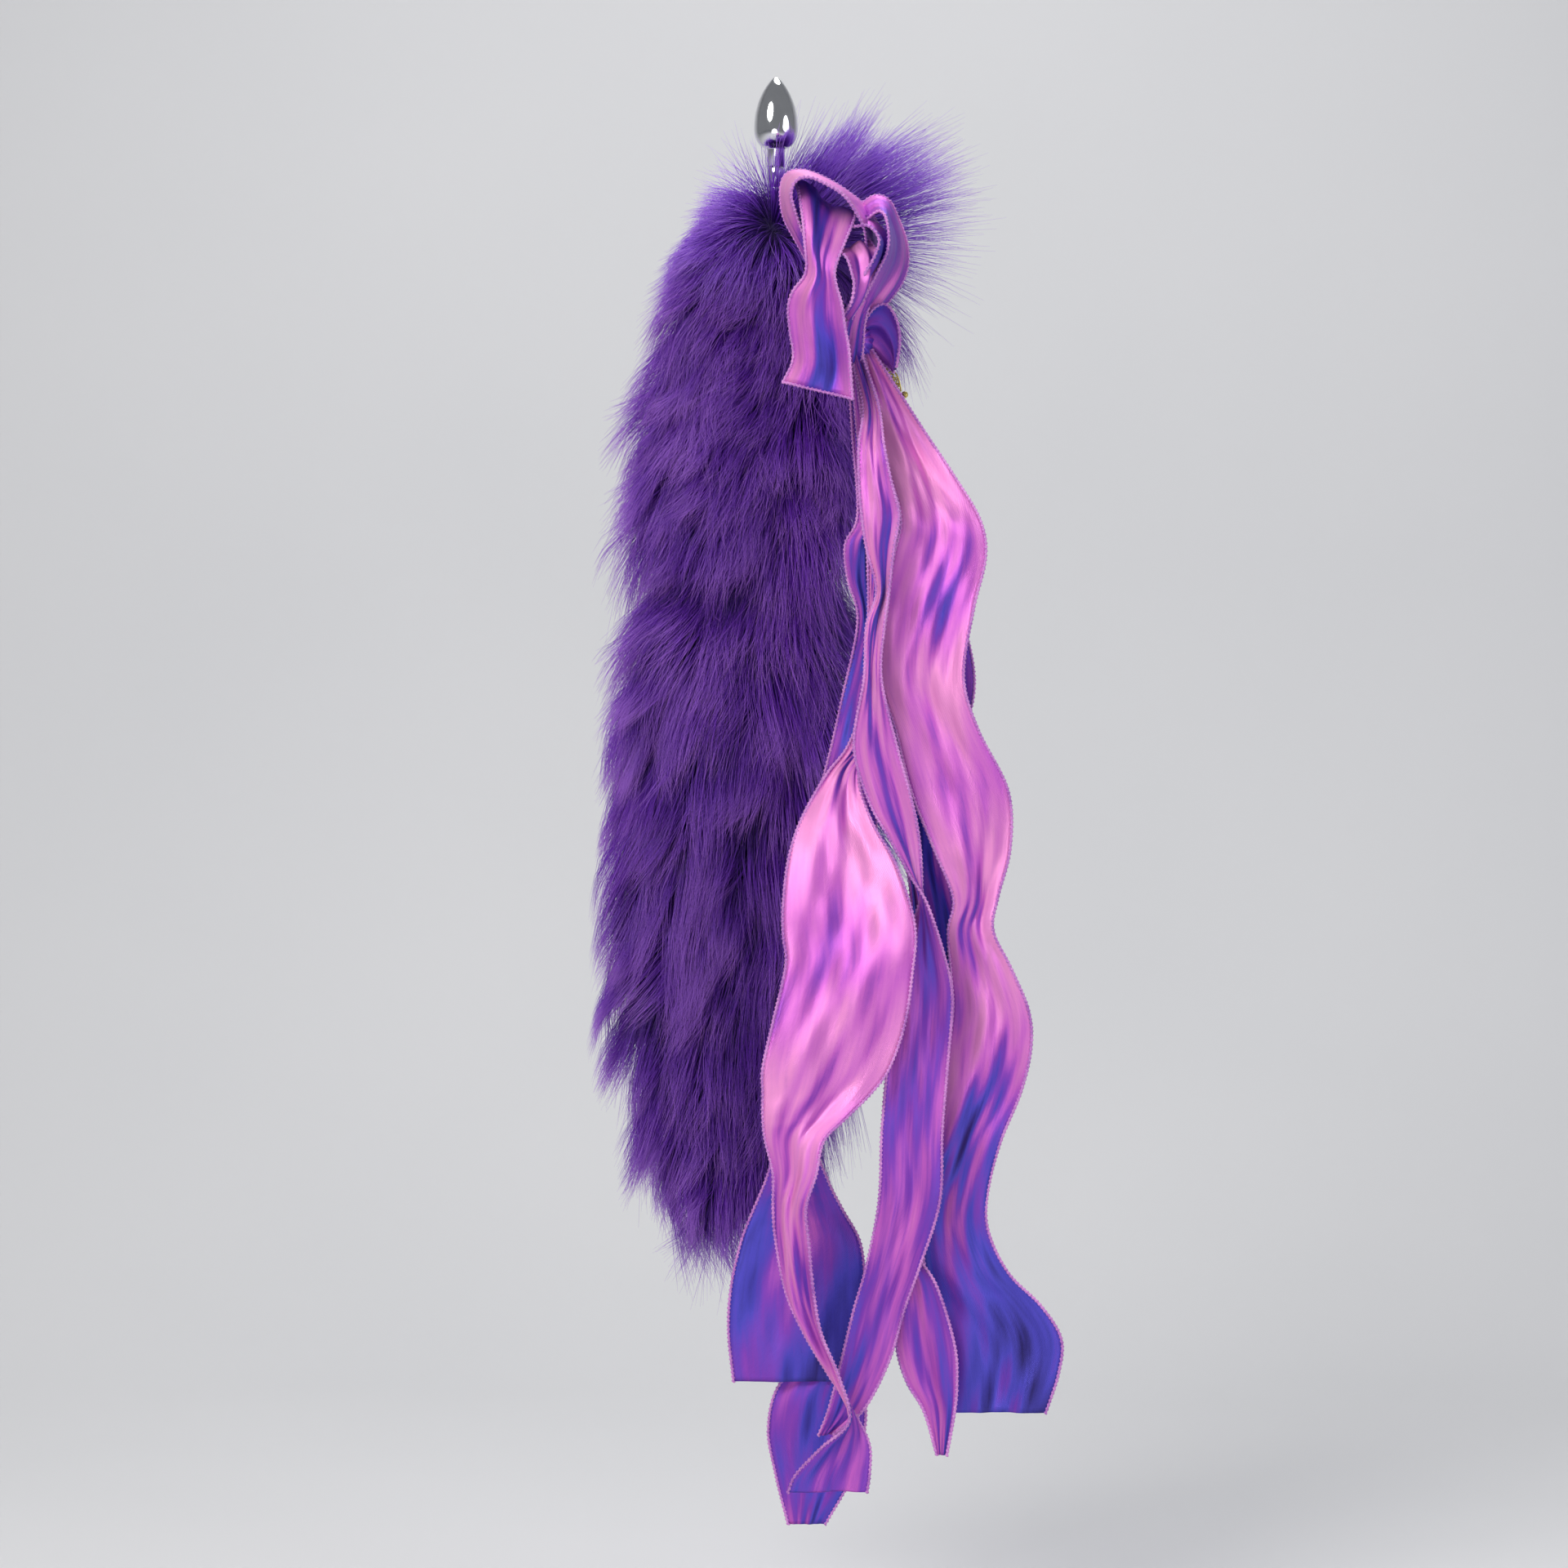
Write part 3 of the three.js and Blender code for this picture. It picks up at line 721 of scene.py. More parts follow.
def merrow_tree() -> NodeShape:
    """Slanted thread wraps over a thin edge wire, one every stitch."""
    shape = NodeShape(
        "merrowed_edge",
        [("Pitch", "NodeSocketFloat"), ("Wrap", "NodeSocketFloat"), ("Wire", "NodeSocketFloat"),
         ("Thread", "NodeSocketMaterial")],
    )
    route = shape.add("GeometryNodeMeshToCurve", {"Mesh": shape["Geometry"]})
    even = shape.add(
        "GeometryNodeResampleCurve",
        {"Curve": route.outputs[0], "Length": shape["Pitch"]}, mode="LENGTH",
    )
    bead = shape.add("GeometryNodeMeshUVSphere", {"Segments": 6, "Rings": 4, "Radius": shape["Wrap"]})
    flat = shape.add(
        "GeometryNodeTransform",
        {"Geometry": bead.outputs[0], "Scale": (1.05, 0.95, 0.52)},
    )
    slant = shape.add(
        "GeometryNodeTransform",
        {"Geometry": flat.outputs[0], "Rotation": (0.0, math.radians(32), 0.0)},
    )
    tangent = shape.add("GeometryNodeInputTangent", {})
    turned = shape.add(
        "FunctionNodeAlignRotationToVector", {"Vector": tangent.outputs[0]}, axis="Z"
    )
    wraps = shape.add(
        "GeometryNodeInstanceOnPoints",
        {"Points": even.outputs[0], "Instance": slant.outputs[0], "Rotation": turned.outputs[0]},
    )
    real = shape.add("GeometryNodeRealizeInstances", {"Geometry": wraps.outputs[0]})
    ring = shape.add("GeometryNodeCurvePrimitiveCircle", {"Resolution": 5, "Radius": shape["Wire"]})
    core = shape.add(
        "GeometryNodeCurveToMesh",
        {"Curve": even.outputs[0], "Profile Curve": ring.outputs[0], "Fill Caps": True},
    )
    joined = shape.add("GeometryNodeJoinGeometry", {"Geometry": real.outputs[0]})
    shape.tree.links.new(core.outputs[0], joined.inputs[0])
    smooth = shape.add("GeometryNodeSetShadeSmooth", {"Geometry": joined.outputs[0]})
    dressed = shape.add(
        "GeometryNodeSetMaterial", {"Geometry": smooth.outputs[0], "Material": shape["Thread"]}
    )
    shape.finish(dressed.outputs[0])
    return shape


LOCK_BEND = 0.42


def hair_tree() -> NodeShape:
    """Tapered hairs that rise from a scalp, follow its comb direction and clump into locks."""
    shape = NodeShape(
        "hairs",
        [("Density", "NodeSocketFloat"), ("Seed", "NodeSocketInt"), ("Thickness", "NodeSocketFloat"),
         ("Locks", "NodeSocketFloat"), ("Clump", "NodeSocketFloat"), ("Stray", "NodeSocketFloat"),
         ("Steps", "NodeSocketInt"), ("Hair", "NodeSocketMaterial")],
    )
    vector, number = Kind.VECTOR, Kind.NUMBER
    density = shape.number("MULTIPLY", shape["Density"], shape.read("amount", number))
    roots = shape.add(
        "GeometryNodeDistributePointsOnFaces",
        {"Mesh": shape["Geometry"], "Density": density, "Seed": shape["Seed"]},
    )
    place = shape.add("GeometryNodeInputPosition", {}).outputs[0]
    points = shape.store(roots.outputs["Points"], "root", place, vector)
    points = shape.store(points, "out", roots.outputs["Normal"], vector)
    points = shape.store(points, "lot", shape.random(number, 0.0, 1.0, shape["Seed"]), number)
    low, high = (-1.0, -1.0, -1.0), (1.0, 1.0, 1.0)
    points = shape.store(points, "stray", shape.random(vector, low, high, 5), vector)
    cells = shape.add("ShaderNodeTexVoronoi", {"Vector": place, "Scale": shape["Locks"]})
    pull = shape.vector("SUBTRACT", cells.outputs["Position"], place)
    points = shape.store(points, "pull", shape.vector("SCALE", pull, shape["Clump"]), vector)
    tone = shape.vector("SUBTRACT", cells.outputs["Color"], (0.5, 0.5, 0.5))
    points = shape.store(points, "lock", tone, vector)
    line = shape.add("GeometryNodeCurvePrimitiveLine", {"Start": (0, 0, 0), "End": (0, 0, 0.01)})
    strand = shape.add(
        "GeometryNodeResampleCurve", {"Curve": line.outputs[0], "Count": shape["Steps"]}, mode="COUNT"
    )
    planted = shape.add(
        "GeometryNodeInstanceOnPoints", {"Points": points, "Instance": strand.outputs[0]}
    )
    curves = shape.add("GeometryNodeRealizeInstances", {"Geometry": planted.outputs[0]}).outputs[0]
    along = shape.add("GeometryNodeSplineParameter", {}).outputs["Factor"]
    split = shape.add("ShaderNodeSeparateXYZ", {"Vector": shape.read("lock", vector)})
    lot = shape.read("lot", number)
    own = shape.number("MULTIPLY_ADD", lot, 0.35, 0.8)
    own = shape.number("MULTIPLY", own, shape.number("MULTIPLY_ADD", split.outputs["X"], 0.5, 1.0))
    length = shape.number("MULTIPLY", shape.read("reach", number), own)
    run = shape.number("MULTIPLY", length, along)
    squared = shape.number("MULTIPLY", along, along)
    rest = shape.number("SUBTRACT", 1.0, along)
    rise = shape.number("SUBTRACT", 1.0, shape.number("MULTIPLY", rest, rest))
    rise = shape.number("MULTIPLY", rise, shape.read("lift", number))
    spread = shape.number("MULTIPLY_ADD", split.outputs["Y"], 0.5, 1.0)
    rise = shape.number("MULTIPLY", rise, spread)
    bend = shape.number("MULTIPLY", length, shape.number("MULTIPLY", squared, LOCK_BEND))
    frizz = shape.number("MULTIPLY", length, shape.number("MULTIPLY", squared, shape["Stray"]))
    pushes = {"comb": run, "out": rise, "pull": squared, "lock": bend, "stray": frizz}
    place = shape.read("root", vector)
    for name, amount in pushes.items():
        place = shape.vector("ADD", place, shape.vector("SCALE", shape.read(name, vector), amount))
    moved = shape.add("GeometryNodeSetPosition", {"Geometry": curves, "Position": place}).outputs[0]
    tinted = shape.store(moved, "along", along, number)
    taper = shape.number("POWER", shape.number("MULTIPLY_ADD", rest, 0.94, 0.06), 0.7)
    ring = shape.add("GeometryNodeCurvePrimitiveCircle", {"Resolution": 3, "Radius": shape["Thickness"]})
    hairs = shape.add(
        "GeometryNodeCurveToMesh",
        {"Curve": tinted, "Profile Curve": ring.outputs[0], "Scale": taper, "Fill Caps": True},
    )
    dressed = shape.add(
        "GeometryNodeSetMaterial", {"Geometry": hairs.outputs[0], "Material": shape["Hair"]}
    )
    shape.finish(dressed.outputs[0])
    return shape


# ---- ribbon ----------------------------------------------------------------------


class Held(Enum):
    """How a sheet is held."""

    HUNG = "hung"
    GATHERED = "gathered"
    FOLDED = "folded"


STITCH = 1.75 * MM
WRAP_RADIUS = 0.92 * MM
EDGE_WIRE = 0.5 * MM


@dataclass
class RibbonSheet:
    """One length of wired ribbon between two edge lines, in millimetres."""

    name: str
    body: str
    nodes: tuple[str, ...]
    first: Sequence[Sequence[float]]
    second: Sequence[Sequence[float]]
    tones: Sequence[tuple[float, float]]
    back_tone: float = 0.3
    folds: int = 3
    deepest: float = 2.4
    wave: float = 1.0
    seed: float = 0.0
    held: Held = Held.HUNG
    cloth_width: float = 52.0
    hemmed: bool = False
    thickness: float = 0.34
    step: float = 2.6

    def grid(self) -> tuple[Array, Array]:
        """The middle surface and how far down each row lies.

        Returns:
            Points by row and column, in metres, and each row's distance along.
        """
        rough = np.asarray(self.first, float)
        reach = np.linalg.norm(np.diff(rough, axis=0), axis=1).sum()
        rows = max(24, int(reach / self.step))
        one = smooth_curve(np.asarray(self.first), rows) * MM
        two = smooth_curve(np.asarray(self.second), rows) * MM
        columns = 12 * self.folds + 13
        share = np.linspace(0, 1, columns)
        across = two - one
        width = np.linalg.norm(across, axis=1)
        middle = (one + two) / 2
        along = np.gradient(middle, axis=0)
        down = np.concatenate([[0], np.cumsum(np.linalg.norm(np.diff(middle, axis=0), axis=1))])
        normal = np.cross(along, across)
        normal /= np.linalg.norm(normal, axis=1)[:, None] + 1e-12
        for _ in range(6):
            normal[1:-1] = (normal[:-2] + 2 * normal[1:-1] + normal[2:]) / 4
        want = 0.8 * self.cloth_width * MM
        depth = np.sqrt(np.maximum(want**2 - width**2, 0)) / (4 * self.folds)
        narrow = np.clip(1.25 - width / (0.55 * self.cloth_width * MM), 0.12, 1)
        depth = np.minimum(depth * narrow, self.deepest * MM)
        place = down[:, None] * 1000
        u = share[None, :]
        drift = 0.09 * np.sin(0.021 * place + 1.7 * self.seed) + 0.05 * np.sin(0.057 * place + self.seed)
        pleat = np.sin(2 * np.pi * self.folds * (u + drift * np.sin(np.pi * u)))
        pleat = pleat * (0.75 + 0.25 * np.sin(0.05 * place + 4.0 * u + self.seed))
        soft = np.sin(2 * np.pi * (0.9 * u + 0.011 * place) + self.seed)
        soft = soft + 0.55 * np.sin(2 * np.pi * (2.1 * u - 0.017 * place) + 2.3 * self.seed)
        soft = soft + 0.3 * np.sin(2 * np.pi * (4.7 * u + 0.023 * place) + 3.1 * self.seed)
        edge = np.sin(np.pi * u) ** 0.7
        lift = edge * (depth[:, None] * pleat + 0.55 * MM * self.wave * soft)
        points = one[:, None, :] + across[:, None, :] * u[:, :, None] + normal[:, None, :] * lift[
            :, :, None,
        ]
        return points, down

    def build(self, merrow: NodeShape) -> None:
        """Args:
            merrow: the tree that makes the edges.
        """
        points, down = self.grid()
        rows, columns, _ = points.shape
        normal = np.cross(np.gradient(points, axis=0), np.gradient(points, axis=1))
        normal /= np.linalg.norm(normal, axis=2)[:, :, None] + 1e-12
        half = normal * self.thickness * MM / 2
        vertices = np.concatenate([(points + half).reshape(-1, 3), (points - half).reshape(-1, 3)])
        layer = rows * columns
        r, c = np.meshgrid(np.arange(rows - 1), np.arange(columns - 1), indexing="ij")
        a = (r * columns + c).reshape(-1)
        quads = np.stack([a, a + columns, a + columns + 1, a + 1], axis=1)
        faces = [*quads.tolist(), *(quads[:, ::-1] + layer).tolist()]
        for i in range(rows - 1):
            k, m = i * columns, (i + 1) * columns
            faces.append([k + layer, m + layer, m, k])
            e, f = k + columns - 1, m + columns - 1
            faces.append([e, f, f + layer, e + layer])
        for j in range(columns - 1):
            faces.append([j, j + 1, j + 1 + layer, j + layer])
            b = (rows - 1) * columns + j
            faces.append([b + layer, b + 1 + layer, b + 1, b])
        mesh = mesh_of(vertices, faces)
        # Painted light: the colour share follows the tones along the length. It is then raised where the normal
        # faces up and to the left, roughly toward the key light, and lowered where it faces away, so lit folds
        # are painted pink and turned folds blue. The back face starts from its back tone and is painted the
        # same way by its own facing.
        shares, values = zip(*self.tones)
        front = np.interp(down / down[-1], shares, values)[:, None]
        lean = normal @ np.array([-0.72, -0.2, 0.66])
        mean = lean.mean(axis=1, keepdims=True)
        # folded is the painted light share: how each fold faces the light.
        folded = 0.5 * (lean - mean) + 0.22 * mean
        face = np.clip(front + folded, 0, 1)
        rear = np.clip(self.back_tone - 0.5 * folded, 0, 1)
        float_attribute(mesh, "turn", np.concatenate([face.reshape(-1), rear.reshape(-1)]))
        sheet = new_piece(self.name, mesh, SATIN)
        u = np.broadcast_to(np.linspace(0, self.cloth_width * MM, columns)[None, :], (rows, columns))
        v = np.broadcast_to(down[:, None], (rows, columns))
        flat = np.stack([u.reshape(-1), v.reshape(-1)], axis=1)
        lay_cloth(mesh, np.concatenate([flat, flat]))
        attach(sheet, self.body)
        if self.nodes:
            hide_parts(*self.nodes)
        hems = self.build_edges(points, merrow)

    def build_edges(self, points: Array, merrow: NodeShape) -> list[Object]:
        """Makes the wired, merrowed edges as one piece.

        Args:
            points: the sheet's middle surface, by row and column.
            merrow: the tree that makes the edges.

        Returns:
            The pieces made.
        """
        wanted = [points[:, 0], points[:, -1]]
        if self.hemmed:
            wanted.append(points[-1])
        links: list[tuple[int, int]] = []
        start = 0
        for line in wanted:
            links += [(start + i, start + i + 1) for i in range(len(line) - 1)]
            start += len(line)
        mesh = bpy.data.meshes.new("edge")
        mesh.from_pydata([tuple(v) for v in np.vstack(wanted)], links, [])
        inputs = {"Pitch": STITCH, "Wrap": WRAP_RADIUS, "Wire": EDGE_WIRE, "Thread": Finishes.get(MERROW)}
        hem = new_piece(self.name + "_merrow", merrow.run(self.name, mesh, inputs), MERROW)
        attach(hem, self.body)
        return [hem]


@dataclass
class Bow:
    """The looped bow over the knot and the streamers that hang from it."""

    knot: Triple = (33.0, -45.0, -88.0)
    merrow: NodeShape = field(default_factory=merrow_tree)

    def build(self) -> None:
        """Makes the knot, every loop and every streamer."""
        self.build_knot()
        for sheet in (*self.loops(), *self.streamers()):
            sheet.build(self.merrow)

    def build_knot(self) -> None:
        """Makes the puffy gathered knot, tied round its middle."""
        low, high = (np.array(corner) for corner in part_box("bow_knot"))
        centre, size = (low + high) / 2, (high - low) / 2
        rings, sides = 40, 96
        t = np.linspace(-1, 1, rings)[:, None]
        turn = np.linspace(0, 2 * np.pi, sides, endpoint=False)[None, :]
        waist = 1 - 0.3 * np.exp(-((t / 0.16) ** 2))
        swell = np.sqrt(np.maximum(1 - np.abs(t) ** 3.2, 0)) * waist
        pleats = 1 + 0.055 * np.sin(13 * turn + 2.2 * t) + 0.03 * np.sin(7 * turn - 3 * t)
        radius = size[0] * swell * pleats * 0.97
        x = centre[0] + radius * np.cos(turn)
        y = centre[1] + size[1] * t + 0 * turn
        z = centre[2] + radius * np.sin(turn)
        vertices = np.stack([x, y, z], axis=2).reshape(-1, 3)
        faces = []
        for i in range(rings - 1):
            for j in range(sides):
                k = (j + 1) % sides
                faces.append([i * sides + j, i * sides + k, (i + 1) * sides + k, (i + 1) * sides + j])
        mesh = mesh_of(vertices, faces)
        weld(mesh)
        # Painted light: the knot's colour share is raised where its surface faces up and to the left, toward
        # the light, and lowered where it faces away.
        float_attribute(
            mesh, "turn", [0.55 + 0.3 * v.normal.dot(Vector((-0.7, 0, 0.7))) for v in mesh.vertices],
        )
        knot = new_piece("gathered_knot", mesh, SATIN)
        lay_cloth(mesh, vertex_rows(mesh, "co")[:, [0, 2]])
        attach(knot, "tail_upper")
        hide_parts("bow_knot")

    @staticmethod
    def loop(
        name: str, first: Sequence[Triple], second: Sequence[Triple],
        tones: Sequence[tuple[float, float]], *shape: float, covers: bool = True, hemmed: bool = False,
    ) -> RibbonSheet:
        """One loop of the bow.

        Args:
            name: which loop it is.
            first: its first edge.
            second: its second edge.
            tones: its colour share along its length, painted pinker where the cloth catches the light and bluer
                where it turns away.
            shape: back tone, folds, deepest fold, wave and seed.
            covers: whether it stands for a solid of the same name.
            hemmed: whether its far end is hemmed.

        Returns:
            The sheet.
        """
        nodes = (f"bow_loop_{name}",) if covers else ()
        return RibbonSheet(
            f"loop_{name}", "tail_upper", nodes, first, second, tones, *shape, Held.FOLDED, hemmed=hemmed
        )

    def loops(self) -> list[RibbonSheet]:
        """The bow's own loops, each by its two edges."""
        top_front = [
            (36.5, -66, -54.5), (35.4, -74, -46.7), (31.9, -78, -40.4), (27, -81, -34), (19.9, -83, -29.8),
            (12.9, -83, -27), (7.9, -81, -28.4), (6.2, -79, -33.3), (8, -76, -40), (12, -72, -50),
            (20, -66, -66), (28, -57, -82),
        ]
        top_rear = [
            (44, -42, -56), (43, -42, -44), (38, -43, -34), (30, -43, -27), (21, -44, -21.5),
            (12, -44, -18), (5, -45, -19), (2, -46, -25), (3, -48, -37), (9, -50, -49), (18, -52, -66),
            (27, -50, -82),
        ]
        strap_left = [
            (6.8, -60, -24), (9, -72, -30.5), (10.7, -80, -43), (11.4, -82, -51.6), (12, -82, -64.3),
            (7, -80, -71.4), (5, -78, -77.7), (5.7, -77, -86.8), (7, -76, -98), (3, -75, -107),
        ]
        strap_right = [
            (32, -61, -37.5), (31, -72, -42.5), (26.5, -78, -54), (23.5, -81, -63), (24, -82, -69.3),
            (26.2, -82, -77), (27.5, -81, -86), (29, -80, -94), (29.8, -79, -104), (30.5, -78, -114),
        ]
        outer_rear = [
            (34.2, -45, -32), (40.2, -44, -28), (46, -44, -30), (49.5, -44, -37), (52.8, -45, -46),
            (53.6, -46, -55), (51.5, -46, -63), (46, -46, -71), (39, -45, -79), (33, -44, -87),
        ]
        outer_front = [
            (37, -60, -40), (41, -64, -37.5), (43.5, -67, -39.5), (44.5, -70, -44), (45, -72, -50),
            (44, -73, -56), (41, -72, -62), (37.5, -69, -68.5), (33, -63, -77), (28.5, -57, -85),
        ]
        spiral_outer = [
            (36, -53, -39), (42, -53, -42), (46.5, -54, -50), (45.5, -55, -59), (40, -57, -68),
            (36, -59, -80), (35, -57, -92), (34, -52, -98),
        ]
        spiral_inner = [
            (31.5, -73, -45), (37, -77, -45.5), (41, -79, -51), (39, -78, -58), (34.5, -75, -66),
            (28.5, -68, -80), (26.5, -63, -92), (28, -55, -98),
        ]
        fold_left = [
            (24.7, -76, -55), (28, -79, -58), (30, -80, -64), (31, -80, -69), (30, -78, -75.7),
            (26.8, -73, -80),
        ]
        fold_right = [
            (37.5, -66, -49), (40.5, -68, -54), (41, -69, -60), (38.5, -70, -66), (35, -68, -72),
            (29.5, -64, -82),
        ]
        lower_outer = [
            (32.5, -50, -86), (36.5, -54, -79), (40.5, -56, -74.5), (44.8, -57, -74), (48.6, -56, -80),
            (50, -54, -88), (48.8, -50, -98),
        ]
        lower_inner = [
            (31.5, -46, -88), (33.5, -46, -88.5), (36.5, -45, -90.5), (40, -44, -93), (43, -43, -95.5),
            (45.5, -42, -97.5), (47.8, -42, -99.5),
        ]
        # The tones lists paint sheen along each loop: higher shares are painted pink where the cloth catches
        # the light, lower ones blue where it turns away.
        return [
            self.loop(
                "top", top_rear, top_front, [(0, 0.62), (0.25, 0.8), (0.55, 0.85), (0.7, 0.5), (1, 0.25)],
                0.3, 2, 1.2, 0.7, 0.4,
            ),
            self.loop(
                "lower_left", strap_left, strap_right,
                [(0, 0.6), (0.3, 0.56), (0.55, 0.62), (0.8, 0.5), (1, 0.56)], 0.25, 1, 4.6, 1.6, 1.1,
                hemmed=True,
            ),
            self.loop(
                "right", outer_front, outer_rear, [(0, 0.4), (0.3, 0.6), (0.6, 0.7), (1, 0.6)], 0.35, 2,
                1.2, 0.8, 2.0,
            ),
            self.loop(
                "spiral", spiral_inner, spiral_outer, [(0, 0.5), (0.4, 0.62), (1, 0.4)], 0.3, 2, 1.4, 0.8,
                3.2, covers=False,
            ),
            self.loop(
                "centre", fold_left, fold_right, [(0, 0.72), (0.5, 0.7), (1, 0.55)], 0.05, 2, 1.4, 0.8, 4.1,
            ),
            self.loop(
                "lower_right", lower_outer, lower_inner, [(0, 0.2), (0.5, 0.12), (1, 0.22)], 0.5, 2, 1.3,
                0.9, 5.3,
            ),
        ]

    def streamer(
        self, name: str, group: str, layer: float, rows: Sequence[Sequence[float]],
        tones: Sequence[tuple[float, float]], *shape: float,
    ) -> RibbonSheet:
        """One streamer below the knot.

        Args:
            name: which streamer it is.
            group: the swinging group it belongs to.
            layer: its depth.
            rows: drop, x1, x2, y1 and y2 at each station.
            tones: its colour share along its length, painted pinker where the cloth catches the light and bluer
                where it turns away.
            shape: back tone, folds, deepest fold, wave and seed.

        Returns:
            The sheet.
        """
        x, _, z = self.knot
        first = [(x + a, layer - c, z - drop) for drop, a, _, c, _ in rows]
        second = [(x + b, layer - d, z - drop) for drop, _, b, _, d in rows]
        title = f"streamer_{name}"
        return RibbonSheet(title + "_sheet", f"streamers_{group}", (title,), first, second, tones, *shape)

    def streamers(self) -> list[RibbonSheet]:
        """The six tails of ribbon, from the back layer to the front."""
        back = [
            (4, -3, 2, -10, -10), (27, 0, 8, -8, -8), (60, 2, 11, -4, -4), (100, 11, 37, 0, 0), (
                135, 14, 47, 0, 2,
            ),
            (165, 14, 42, 2, 0), (205, 20, 38, 0, 0), (242, 28, 44, 0, 1), (262, 24, 39, 1, 0), (
                312, 13, 29, 0, 0,
            ),
            (344, 11, 27, 0, 1), (370, 5, 23, 0, 0), (388, -1, 17, 1, 0), (407, -14, 12, 0, 0), (
                420, -31, 4, 0, 1,
            ),
            (438, -36, 3, 1, 0), (457, -33, -2, 0, 1), (477, -28, -13, 0, 0),
        ]
        back_left = [
            (4, -4, 1, -10, -10), (37, -2, 7, -7, -7), (70, 0, 12, -1, -1), (82, -5, 12, 0, 0), (
                96, -4, 11, 0, 0,
            ),
            (113, 0, 11, 1, 0), (143, -6, 11, 0, 1), (173, -13, 9, 0, 0), (206, -23, 7, 1, 0), (
                256, -28, 5, 0, 0,
            ),
            (307, -31, -9, 0, 1), (324, -33, -16, 0, 0), (338, -37, -12, 1, 0), (350, -42, -6, 0, 0), (
                363, -47, 1, 0, 1,
            ),
            (381, -51, 3, 1, 0), (399, -52, 3, 0, 1), (419, -50, 0, 0, 0),
        ]
        right = [
            (3, 0, 6, -15, -15), (33, 7, 25, -14, -14), (55, 13, 39, -5, -8), (73, 17, 49, 3, -2), (
                88, 14, 51, 2, -1,
            ),
            (109, 10, 46, 0, 2), (136, 9, 42, -1, 3), (157, 15, 48, 0, 2), (181, 21, 60, 2, -1), (
                204, 30, 61, 3, -2,
            ),
            (224, 38, 56, 2, -2), (237, 36, 54, 0, 0), (252, 37, 61, -2, 2), (269, 38, 68, -2, 3), (
                284, 36, 69, -1, 2,
            ),
            (302, 34, 65, 0, 0), (322, 30, 57, 2, -2), (342, 26, 52, 2, -3), (357, 25, 52, 1, -2), (
                374, 27, 60, 0, 0,
            ),
            (387, 30, 73, -2, 2), (400, 33, 81, -2, 3), (414, 36, 80, -2, 2), (430, 38, 75, 0, 0),
        ]
        left = [
            (3, -3, 3, -20, -20), (37, 0, 8, -19, -17), (72, 3, 13, -3, -3), (112, 4, 9, 0, 0), (
                144, 2, 8, 0, 0,
            ),
            (163, -4, 5, 0, 0), (175, -13, 0, 2, 2), (193, -23, 5, 9, 8), (209, -28, 14, 14, 13), (
                226, -30, 20, 17, 19,
            ),
            (238, -30, 22, 18, 22), (250, -29, 21, 20, 23), (272, -34, 18, 22, 20), (290, -38, 12, 22, 18),
            (300, -38, 5, 21, 17), (310, -38, -5, 20, 18), (319, -37, -14, 18, 20), (332, -34, -17, 17, 22),
            (345, -34, -21, 17, 23), (358, -33, -20, 18, 23), (378, -29, -18, 20, 24), (
                394, -22, -15, 21, 25,
            ),
            (411, -12, -8, 20, 25), (428, -1, -4, 18, 25), (439, 4, -15, 18, 23), (450, 4, -25, 19, 21),
            (457, 3, -28, 20, 20),
        ]
        middle = [
            (4, -3, 1, -23, -23), (27, 2, 8, -11, -11), (44, 0, 10, -1, -1), (59, 0, 13, 1, 0), (
                72, 1, 16, 2, 0,
            ),
            (85, 3, 14, 1, 0), (102, 7, 12, 0, 0), (116, 3, 10, 1, 0), (137, 2, 9, 2, 0), (
                163, -2, 15, 1, -1,
            ),
            (185, 4, 21, 0, 0), (200, 12, 24, 1, -2), (216, 21, 25, 2, -2), (226, 27, 24, 3, -2), (
                247, 34, 17, 2, 0,
            ),
            (264, 37, 14, 0, 1), (293, 35, 11, -1, 1), (317, 33, 9, 0, 2), (344, 32, 8, 2, 0), (
                370, 24, 3, 1, -1,
            ),
            (387, 18, -2, 0, 0), (407, 12, -7, 1, 2), (426, 2, -12, 2, 3), (436, -10, -16, 3, 4),
        ]
        small = [
            (4, -2, 2, -22, -22), (37, 2, 7, -8, -8), (72, 4, 12, 0, 0), (102, 8, 12, 0, 0), (
                137, 4, 8, 0, 0,
            ),
            (163, 3, 12, 0, 0), (190, 10, 18, -1, -1), (216, 20, 24, -3, -3), (247, 20, 30, -1, -1), (
                293, 15, 31, 0, 0,
            ),
            (344, 12, 27, 0, 0), (362, 13, 22, 0, 0), (378, 15, 31, -1, 0), (401, 15, 38, -2, 1), (
                416, 19, 39, -2, 2,
            ),
            (428, 26, 38, -1, 2), (445, 31, 35, 0, 1),
        ]
